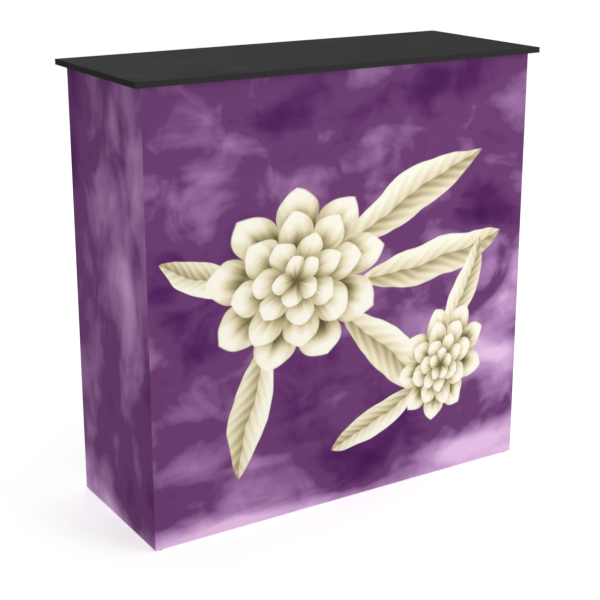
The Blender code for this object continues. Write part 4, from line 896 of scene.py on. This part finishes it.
def rounded(outline: Sequence[Pair], corner: float, steps: int = 3) -> list[Pair]:
    """Round the inner corners of an open outline.

    Args:
        outline: Its points.
        corner: The reach of each round along both sides.
        steps: Points in each round, less one.

    Returns:
        The points with the rounds.
    """
    path = [Vector(point) for point in outline]
    made = [path[0]]
    for before, at, after in zip(path, path[1:], path[2:]):
        start, end = [at + (to - at).normalized() * min(corner, (to - at).length * SIDE_SHARE)
                      for to in (before, after)]
        for step in range(steps + 1):
            t = step / steps
            made.append(start.lerp(at, t).lerp(at.lerp(end, t), t))
    made.append(path[-1])
    return [(point.x, point.y) for point in made]


@dataclass
class Studio:
    """The plain pale floor, the light and the camera."""

    floor_size: float = 14.0
    floor_colour: str = "EFEFEE"
    floor_lift: float = 0.60  # what the floor gives the eye beyond its own light
    paper_rough: float = 0.9
    paper_gloss: float = 0.1
    world_level: float = 0.66
    left_level: float = 0.14  # the light is weaker from the left
    level_span: Pair = (-0.9, 0.3)  # from there to the right, as a direction's X
    key_place: Triple = (2.5, -4.0, 2.5)
    key_power: float = 54.0
    fill_place: Triple = (0.9, 3.9, 2.6)
    fill_power: float = 24.0
    lamp_size: float = 2.6
    aim: Triple = (0.0, 0.0, 0.5)
    azimuth: float = -31.953
    elevation: float = 15.834
    distance: float = 3.1119
    target: Triple = (-0.01365, 0.0, 0.5541)
    lens: float = 80.16
    sensor: float = 36.0
    sight: float = 40.0  # how far the camera sees
    shift_up: float = -0.08

    def camera(self) -> None:
        """Set the camera at the photograph's viewing angle."""
        data = bpy.data.cameras.new("camera")
        data.lens = self.lens
        data.sensor_width = self.sensor
        data.shift_y = self.shift_up
        data.clip_end = self.sight
        turn = math.radians(self.azimuth)
        lift = math.radians(self.elevation)
        back = Vector((math.sin(turn) * math.cos(lift), -math.cos(turn) * math.cos(lift),
                       math.sin(lift)))
        camera = linked("camera", data)
        camera.location = Vector(self.target) + back * self.distance
        camera.rotation_euler = back.to_track_quat("Z", "Y").to_euler()
        bpy.context.scene.camera = camera

    def lamps(self) -> None:
        """Hang two soft square lamps that look at the object."""
        for name, place, power in (("key", self.key_place, self.key_power),
                                   ("fill", self.fill_place, self.fill_power)):
            data = bpy.data.lights.new(name, "AREA")
            data.size = self.lamp_size
            data.energy = power
            lamp = linked(name, data)
            lamp.location = place
            toward = Vector(self.aim) - Vector(place)
            lamp.rotation_euler = toward.to_track_quat("-Z", "Y").to_euler()

    def seen(self, g: Graph) -> Plug:
        """Find whether a ray shows the background to the eye, also in metal and glass.

        Args:
            g: The nodes to add to.

        Returns:
            What is one for such a ray.
        """
        rays = g.add("LightPath").outputs
        last: Plug = rays["Is Camera Ray"]
        for name in ("Is Glossy Ray", "Is Transmission Ray"):
            last = g.add("Math.MAXIMUM", (last, rays[name]))
        return last

    def world(self) -> None:
        """Light the scene from all round, more weakly from the left, with a white background for
        the eye.
        """
        world = bpy.data.worlds.new("studio")
        world.use_nodes = True
        bpy.context.scene.world = world
        g = Graph(world.node_tree)
        way = g.add("SeparateXYZ", (g.add("TexCoord").outputs["Generated"],))
        level = g.add("MapRange", (way, *self.level_span, self.left_level, self.world_level))
        light = g.nodes["Background"]
        g.feed(light, {"Color": WHITE, "Strength": level})
        white = g.add("Background", {"Color": WHITE})
        shown = g.add("MixShader", (self.seen(g), light, white))
        g.feed(g.nodes["World Output"], {"Surface": shown})

    def floor(self) -> None:
        """Lay the floor, which keeps the object's shadow."""
        bm = bmesh.new()
        bmesh.ops.create_grid(bm, x_segments=1, y_segments=1, size=self.floor_size / 2)
        g = FinishNodes("studio_paper", self.paper_rough)
        lift = g.add("Math.MULTIPLY", (self.seen(g), self.floor_lift))
        glow = g.add("Emission", {"Color": WHITE, "Strength": lift})
        g.feed(g.nodes["Material Output"], {"Surface": g.add("AddShader", (g.shader, glow))})
        floor = linked("floor", mesh_of("floor", bm))
        floor.data.materials.append(g.paint(Base_Color=srgb(self.floor_colour),
                                            Specular_IOR_Level=self.paper_gloss))

    def build(self) -> None:
        """Build the studio."""
        bpy.context.scene.view_settings.view_transform = "Standard"
        self.camera()
        self.world()
        self.floor()
        self.lamps()


@dataclass
class Wrap:
    """The printed wrap, stretched round three sides and turned over the rails."""

    hem: float = 7.1 * MM
    corner: float = 1.3 * MM
    thickness: float = 0.8 * MM
    fold: float = 1.0  # radians past which two faces meet in a fold
    over: float = 0.75  # how squarely a face looks up, down or back where it is turned over

    def size(self) -> tuple[Vector, Vector]:
        """Find the wrap's lowest and highest corner."""
        lows, highs = zip(*(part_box(f"fabric_{side}") for side in ("front", "left", "right")))
        return Vector(list(map(min, *lows))), Vector(list(map(max, *highs)))

    def half_run(self) -> float:
        """Find the length from the middle of the front to a back edge."""
        low, high = self.size()
        return high.x + high.y - low.y

    def open_face(self, bm: bmesh.types.BMesh, normal: Vector, kept: Sequence[Vector]) -> None:
        """Turn one side of the box into hems.

        Args:
            bm: The box.
            normal: The way that the side faces.
            kept: The ways from the side's middle where a hem stays.
        """
        side = next(face for face in bm.faces if face.normal.dot(normal) > ALIGNED)
        ring = bmesh.ops.inset_region(bm, faces=[side], thickness=self.hem, use_even_offset=True)
        middle = side.calc_center_median()
        away = [face for face in ring["faces"]
                if not any((face.calc_center_median() - middle).normalized().dot(way) > ALIGNED
                           for way in kept)]
        bmesh.ops.delete(bm, geom=[side, *away], context="FACES")

    def hems(self, bm: bmesh.types.BMesh, facing: int) -> list[bmesh.types.BMFace]:
        """List the hems behind the front ones.

        Args:
            bm: The wrap.
            facing: The axis that they face along.

        Returns:
            Their faces.
        """
        behind = self.size()[0].y + self.hem / 2
        return [face for face in bm.faces if abs(face.normal[facing]) > ALIGNED
                and min(vert.co.y for vert in face.verts) > behind]

    def shorten(self, bm: bmesh.types.BMesh, facing: int, along: int, limit: float,
                outward: float) -> None:
        """Cut the hems that face one way back to where a groove ends.

        Args:
            bm: The wrap.
            facing: The axis that the hems face along.
            along: The axis that they are cut across.
            limit: Where the groove ends.
            outward: One where the hems are cut above the limit, minus one below it.
        """
        parts = {part for face in self.hems(bm, facing)
                 for part in (face, *face.edges, *face.verts)}
        plane = Vector([float(axis == along) for axis in range(3)])
        bmesh.ops.bisect_plane(bm, geom=list(parts), plane_co=plane * limit, plane_no=plane)
        beyond = [face for face in self.hems(bm, facing)
                  if (face.calc_center_median()[along] - limit) * outward > 0]
        bmesh.ops.delete(bm, geom=beyond, context="FACES")

    def lay_out(self, bm: bmesh.types.BMesh, low: Vector, high: Vector) -> None:
        """Write each corner's place along the wrap and up it, in metres, as its UV.

        Args:
            bm: The wrap.
            low: Its lowest corner.
            high: Its highest corner.
        """
        layer = bm.loops.layers.uv.new(WRAP_MAP)
        for face in bm.faces:
            middle = face.calc_center_median()
            sign = math.copysign(1.0, middle.x)
            front = middle.y - low.y < high.x - abs(middle.x)
            for loop in face.loops:
                at = loop.vert.co
                inward = at.y - low.y if front else high.x - abs(at.x)
                along = at.x if front else sign * (high.x + at.y - low.y)
                rise = at.z
                if abs(face.normal.z) > self.over:
                    rise += math.copysign(inward, face.normal.z)
                elif face.normal.y > self.over:
                    along = sign * (high.x + high.y - low.y + inward)
                loop[layer].uv = (along, rise)

    def build(self, cloth: bpy.types.Material) -> None:
        """Make the wrap.

        Args:
            cloth: Its finish.
        """
        low, high = self.size()
        bm = bmesh.new()
        bmesh.ops.create_cube(bm, size=1.0, matrix=Matrix.Translation((low + high) / 2)
                              @ Matrix.Diagonal((*(high - low), 1.0)))
        left, right = Vector((-1, 0, 0)), Vector((1, 0, 0))
        front, up = Vector((0, -1, 0)), Vector((0, 0, 1))
        self.open_face(bm, -front, (left, right))
        for way in (up, -up):
            self.open_face(bm, way, (left, right, front))
        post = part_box("post_back_left")
        self.shorten(bm, Y, Z, post[1].z, 1.0)
        self.shorten(bm, Y, Z, post[0].z, -1.0)
        self.shorten(bm, Z, Y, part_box("rail_top_left")[1].y, 1.0)
        folds = [edge for edge in bm.edges if len(edge.link_faces) == 2
                 and edge.calc_face_angle() > self.fold]
        bmesh.ops.bevel(bm, geom=folds, offset=self.corner, segments=4, profile=0.5,
                        affect="EDGES", material=-1)
        self.lay_out(bm, low, high)
        piece = finished("fabric_wrap", bm, cloth, "frame", 60.0)
        solid = piece.modifiers.new("thickness", "SOLIDIFY")
        solid.thickness = self.thickness
        solid.offset = -1.0
        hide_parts("fabric_front", "fabric_left", "fabric_right")


@dataclass
class Screws:
    """Pan-head screws with a cross recess, joined into one piece for each set."""

    radius: float = 2.9 * MM
    height: float = 1.5 * MM
    rim: float = 0.3  # the share of the height that stands upright
    twist: float = 37.0  # degrees from one head's recess to the next, as if by chance
    recess_width: float = 0.8 * MM
    recess_length: float = 3.2 * MM
    recess_depth: float = 1.1 * MM

    def head(self) -> bpy.types.Mesh:
        """Make one head that stands on local XY.

        Returns:
            The head's mesh.
        """
        dome = [(0.0, 0.0), (self.radius, 0.0), (self.radius, self.height * self.rim)]
        for degrees in (18, 36, 54, 72):
            turn = math.radians(degrees)
            rise = self.rim + (1 - self.rim) * math.sin(turn)
            dome.append((self.radius * math.cos(turn), self.height * rise))
        dome.append((0.0, self.height))
        cutter = bmesh.new()
        arm = (self.recess_length, self.recess_width)
        for size in (arm, arm[::-1]):
            box = Matrix.Diagonal((*size, 2 * self.recess_depth, 1.0))
            bmesh.ops.create_cube(cutter, size=1.0,
                                  matrix=Matrix.Translation((0, 0, self.height)) @ box)
        meshes = [mesh_of("head", turned(dome, HEAD_STEPS)), mesh_of("recess", cutter)]
        head, recess = [linked(mesh.name, mesh) for mesh in meshes]
        cut = head.modifiers.new("cut", "BOOLEAN")
        cut.operation = "DIFFERENCE"
        cut.solver = "EXACT"
        cut.use_self = True
        cut.object = recess
        ready = head.evaluated_get(bpy.context.evaluated_depsgraph_get())
        made = bpy.data.meshes.new_from_object(ready)
        for item, mesh in zip((head, recess), meshes):
            bpy.data.objects.remove(item)
            bpy.data.meshes.remove(mesh)
        return made

    def build(self, name: str, body: str, places: Sequence[Sequence[float]], out: Vector,
              steel: bpy.types.Material) -> None:
        """Set a row of screws.

        Args:
            name: The set's name.
            body: The body that it moves with.
            places: Where each head stands.
            out: The way that the heads look.
            steel: Their finish.
        """
        head = self.head()
        turn = Vector((0, 0, 1)).rotation_difference(out).to_matrix().to_4x4()
        bm = bmesh.new()
        for number, place in enumerate(places):
            copy = head.copy()
            twist = Matrix.Rotation(math.radians(self.twist * number), 4, "Z")
            copy.transform(Matrix.Translation(place) @ turn @ twist)
            bm.from_mesh(copy)
            bpy.data.meshes.remove(copy)
        bpy.data.meshes.remove(head)
        finished(name, bm, steel, body, 30.0)


@dataclass
class SmallScrews(Screws):
    """Smaller ones of the same kind, for thin plates."""

    radius: float = 2.0 * MM
    height: float = 1.1 * MM
    recess_width: float = 0.6 * MM
    recess_length: float = 2.2 * MM
    recess_depth: float = 0.7 * MM


@dataclass
class Rivets(Screws):
    """Blind rivets, whose domed heads keep the dimple of the broken mandrel."""

    radius: float = 3.2 * MM
    height: float = 1.1 * MM
    dome: tuple[Pair, ...] = (  # shares of the radius and the height
        (0.0, 0.0), (1.0, 0.0), (0.9, 0.5), (0.62, 0.85),
    )
    dimple: float = 1.0 * MM
    dimple_rim: float = 1.3 * MM
    dimple_floor: float = 0.605 * MM

    def head(self) -> bpy.types.Mesh:
        """Make one head that stands on local XY.

        Returns:
            The head's mesh.
        """
        outline = [(self.radius * wide, self.height * high) for wide, high in self.dome]
        outline += [(self.dimple_rim, self.height), (self.dimple, self.dimple_floor),
                    (0.0, self.dimple_floor)]
        return mesh_of("head", turned(outline, HEAD_STEPS))


@dataclass
class Hinges:
    """The screws of the continuous hinges."""

    pitch: float = 115 * MM
    from_pin: float = 10.6 * MM
    pin_from_door: float = 1.0 * MM
    leaf: float = 1.2 * MM

    def build(self, screws: Screws, steel: bpy.types.Material) -> None:
        """Screw both hinges down.

        Args:
            screws: The maker of screws.
            steel: Their finish.
        """
        back = Vector((0, 1, 0))
        for side, sign in (("left", -1), ("right", 1)):
            low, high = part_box(f"hinge_frame_leaf_{side}")
            count = int((high.z - low.z) / self.pitch) + 1
            start = (low.z + high.z - self.pitch * (count - 1)) / 2
            pin = sign * (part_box("door_right")[1].x + self.pin_from_door)
            face = low.y + self.leaf
            for leaf, way, body in (("frame", sign, "frame"), ("door", -sign, f"{side}_door")):
                x = pin + way * self.from_pin
                places = [(x, face, start + self.pitch * number) for number in range(count)]
                screws.build(f"hinge_screws_{leaf}_{side}", body, places, back, steel)


@dataclass
class Knobs:
    """The turned knobs, each with the head of its bolt on the door's inner face."""

    outline: tuple[Pair, ...] = (  # radius and height in mm, from the door out
        (0.0, 0.0), (9.0, 0.0), (9.0, 1.6), (5.6, 3.6), (5.6, 7.4), (11.8, 9.4), (13.0, 10.6),
        (13.0, 13.6), (11.6, 15.2), (9.6, 15.6), (9.0, 15.1), (8.4, 15.6), (4.0, 16.0),
        (0.0, 16.0),
    )
    corner: float = 0.7 * MM

    def build(self, screws: Screws, steel: bpy.types.Material) -> None:
        """Make both knobs.

        Args:
            screws: The maker of screws.
            steel: The finish.
        """
        outline = [(radius * MM, height * MM) for radius, height in self.outline]
        for side in ("left", "right"):
            low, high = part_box(f"knob_{side}")
            bm = turned(rounded(outline, self.corner), RING_STEPS)
            middle = (low + high) / 2
            on_the_back(bm, middle.x, low.y, middle.z)
            body = f"{side}_door"
            knob = finished(f"turned_knob_{side}", bm, steel, body)
            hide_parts(f"knob_{side}")
            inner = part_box(f"door_{side}")[0].y
            screws.build(f"knob_bolt_{side}", body, [(middle.x, inner, middle.z)],
                         Vector((0, -1, 0)), steel)


@dataclass
class Lock:
    """The ring of the cam lock round its plug."""

    ring: float = 11.0 * MM
    ring_slope: float = 1.2 * MM
    ring_height: float = 1.5 * MM
    edge: float = 0.5 * MM
    bore: float = 6.25 * MM
    barrel: float = 9.4 * MM
    inside: float = 0.3 * MM  # how far the barrel passes the door's outer face

    def build(self, steel: bpy.types.Material) -> None:
        """Make the lock's housing.

        Args:
            steel: Its finish.
        """
        low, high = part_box("lock_housing")
        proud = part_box("door_right")[1].y - low.y + self.inside
        outline = [(self.bore, -proud), (self.barrel, -proud), (self.barrel, 0.0),
                   (self.ring, 0.0), (self.ring, self.edge),
                   (self.ring - self.ring_slope, self.ring_height),
                   (self.bore + self.edge, self.ring_height),
                   (self.bore, self.ring_height - self.edge)]
        bm = turned(outline, RING_STEPS)
        middle = (low + high) / 2
        on_the_back(bm, middle.x, low.y + proud, middle.z)
        piece = finished("lock_ring", bm, steel, "right_door")
        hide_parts("lock_housing")


@dataclass
class Fittings:
    """The rivets of the shelf angles, and the screws of the bolt plate and the driver."""

    angle_wall: float = 2.0 * MM
    rivet_drop: float = 13.0 * MM
    rivets: tuple[float, ...] = (0.04, 0.35, 0.66, 0.96)  # as shares of the angle's length
    plate: float = 1.5 * MM
    plate_aside: float = 3.2 * MM
    plate_foot: float = 16.0 * MM
    plate_head: float = 19.0 * MM
    driver_lug: float = 2.0 * MM
    driver_end: float = 7.0 * MM

    def build(self, screws: Screws, steel: bpy.types.Material) -> None:
        """Make them.

        Args:
            screws: The maker of screws.
            steel: Their finish.
        """
        for side, sign in (("left", -1), ("right", 1)):
            low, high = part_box(f"shelf_angle_{side}")
            x = low.x + self.angle_wall if sign < 0 else high.x - self.angle_wall
            places = [(x, low.y + (high.y - low.y) * share, high.z - self.rivet_drop)
                      for share in self.rivets]
            Rivets().build(f"angle_rivets_{side}", "frame", places, Vector((-sign, 0, 0)), steel)
        low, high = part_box("bolt_plate")
        places = [(x, high.y - self.plate, z)
                  for x in (low.x + self.plate_aside, high.x - self.plate_aside)
                  for z in (low.z + self.plate_foot, high.z - self.plate_head)]
        SmallScrews().build("bolt_plate_screws", "left_door", places, Vector((0, -1, 0)), steel)
        low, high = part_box("lamp_driver")
        places = [(x, (low.y + high.y) / 2, high.z - self.driver_lug)
                  for x in (low.x + self.driver_end, high.x - self.driver_end)]
        screws.build("driver_screws", "frame", places, Vector((0, 0, -1)), steel)


class Carried:
    """The CAD pieces that stay as they are and take a finish."""

    def dress(self, names: Sequence[str], material: bpy.types.Material) -> None:
        """Give nodes a finish.

        Args:
            names: The nodes.
            material: Their finish.
        """
        for name in names:
            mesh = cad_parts[name].data
            mesh.materials.clear()
            mesh.materials.append(material)
        LOG.info("%s on %d carried pieces", material.name, len(names))

    def build(self, steel: Mapping[Run, bpy.types.Material]) -> None:
        """Dress every carried node.

        Args:
            steel: The nickel finish for each way of brushing.
        """
        for board in ("worktop", "deck", "shelf", "door_left", "door_right"):
            self.dress([board], CharcoalLaminate().make(board))
        levels, ends, sides = ("bottom", "top"), ("front", "back"), ("left", "right")
        corners = [f"{end}_{side}" for end in ends for side in sides]
        aluminium = AnodisedAluminium()
        for names, material in (
            ([f"rail_{level}_{end}" for level in levels for end in ends], aluminium.make(Run.X)),
            ([f"rail_{level}_{side}" for level in levels for side in sides]
             + [f"shelf_angle_{side}" for side in sides], aluminium.make(Run.Y)),
            ([f"post_{corner}" for corner in corners], aluminium.make(Run.Z)),
            ([f"corner_block_{level}_{corner}" for level in levels for corner in corners],
             CastAlloy().make()),
            ([f"foot_{corner}" for corner in corners], Plastic.FOOT.value.make()),
            (["bead_bottom", "bead_top", "bead_back_left", "bead_back_right"],
             Plastic.BEAD.value.make()),
            (["worktop_dowel_front_left", "worktop_dowel_back_right"], Beech().make()),
            ([f"liner_{side}" for side in ("front", *sides)], Plastic.LINER.value.make()),
            ([f"lamp_bar_{side}" for side in ("front", *sides)], LensedBar().make()),
            (["lamp_driver"], Plastic.DRIVER.value.make()),
            (["power_inlet"], InletPlastic().make()),
            (["rocker_switch"], RockerPlastic().make()),
            (["lamp_leads"], Plastic.LEAD.value.make()),
            ([f"hinge_{leaf}_leaf_{side}" for leaf in ("frame", "door") for side in sides]
             + ["lock_cam", "bolt_plate", "bolt_pin"], steel[Run.Z]),
        ):
            self.dress(names, material)


def main() -> None:
    """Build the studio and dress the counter."""
    logging.basicConfig(level=logging.INFO, format="%(message)s")
    Studio().build()
    steel = {run: NickelPlate().make(run) for run in Run}
    Carried().build(steel)
    wrap = Wrap()
    low, high = wrap.size()
    cloth = PrintedCloth(half_front=high.x, half_run=wrap.half_run(), foot=low.z, head=high.z)
    wrap.build(cloth.make())
    screws = Screws()
    Hinges().build(screws, steel[Run.Z])
    Knobs().build(screws, steel[Run.X])
    Lock().build(steel[Run.X])
    Fittings().build(screws, steel[Run.X])


if __name__ == "__main__":
    main()
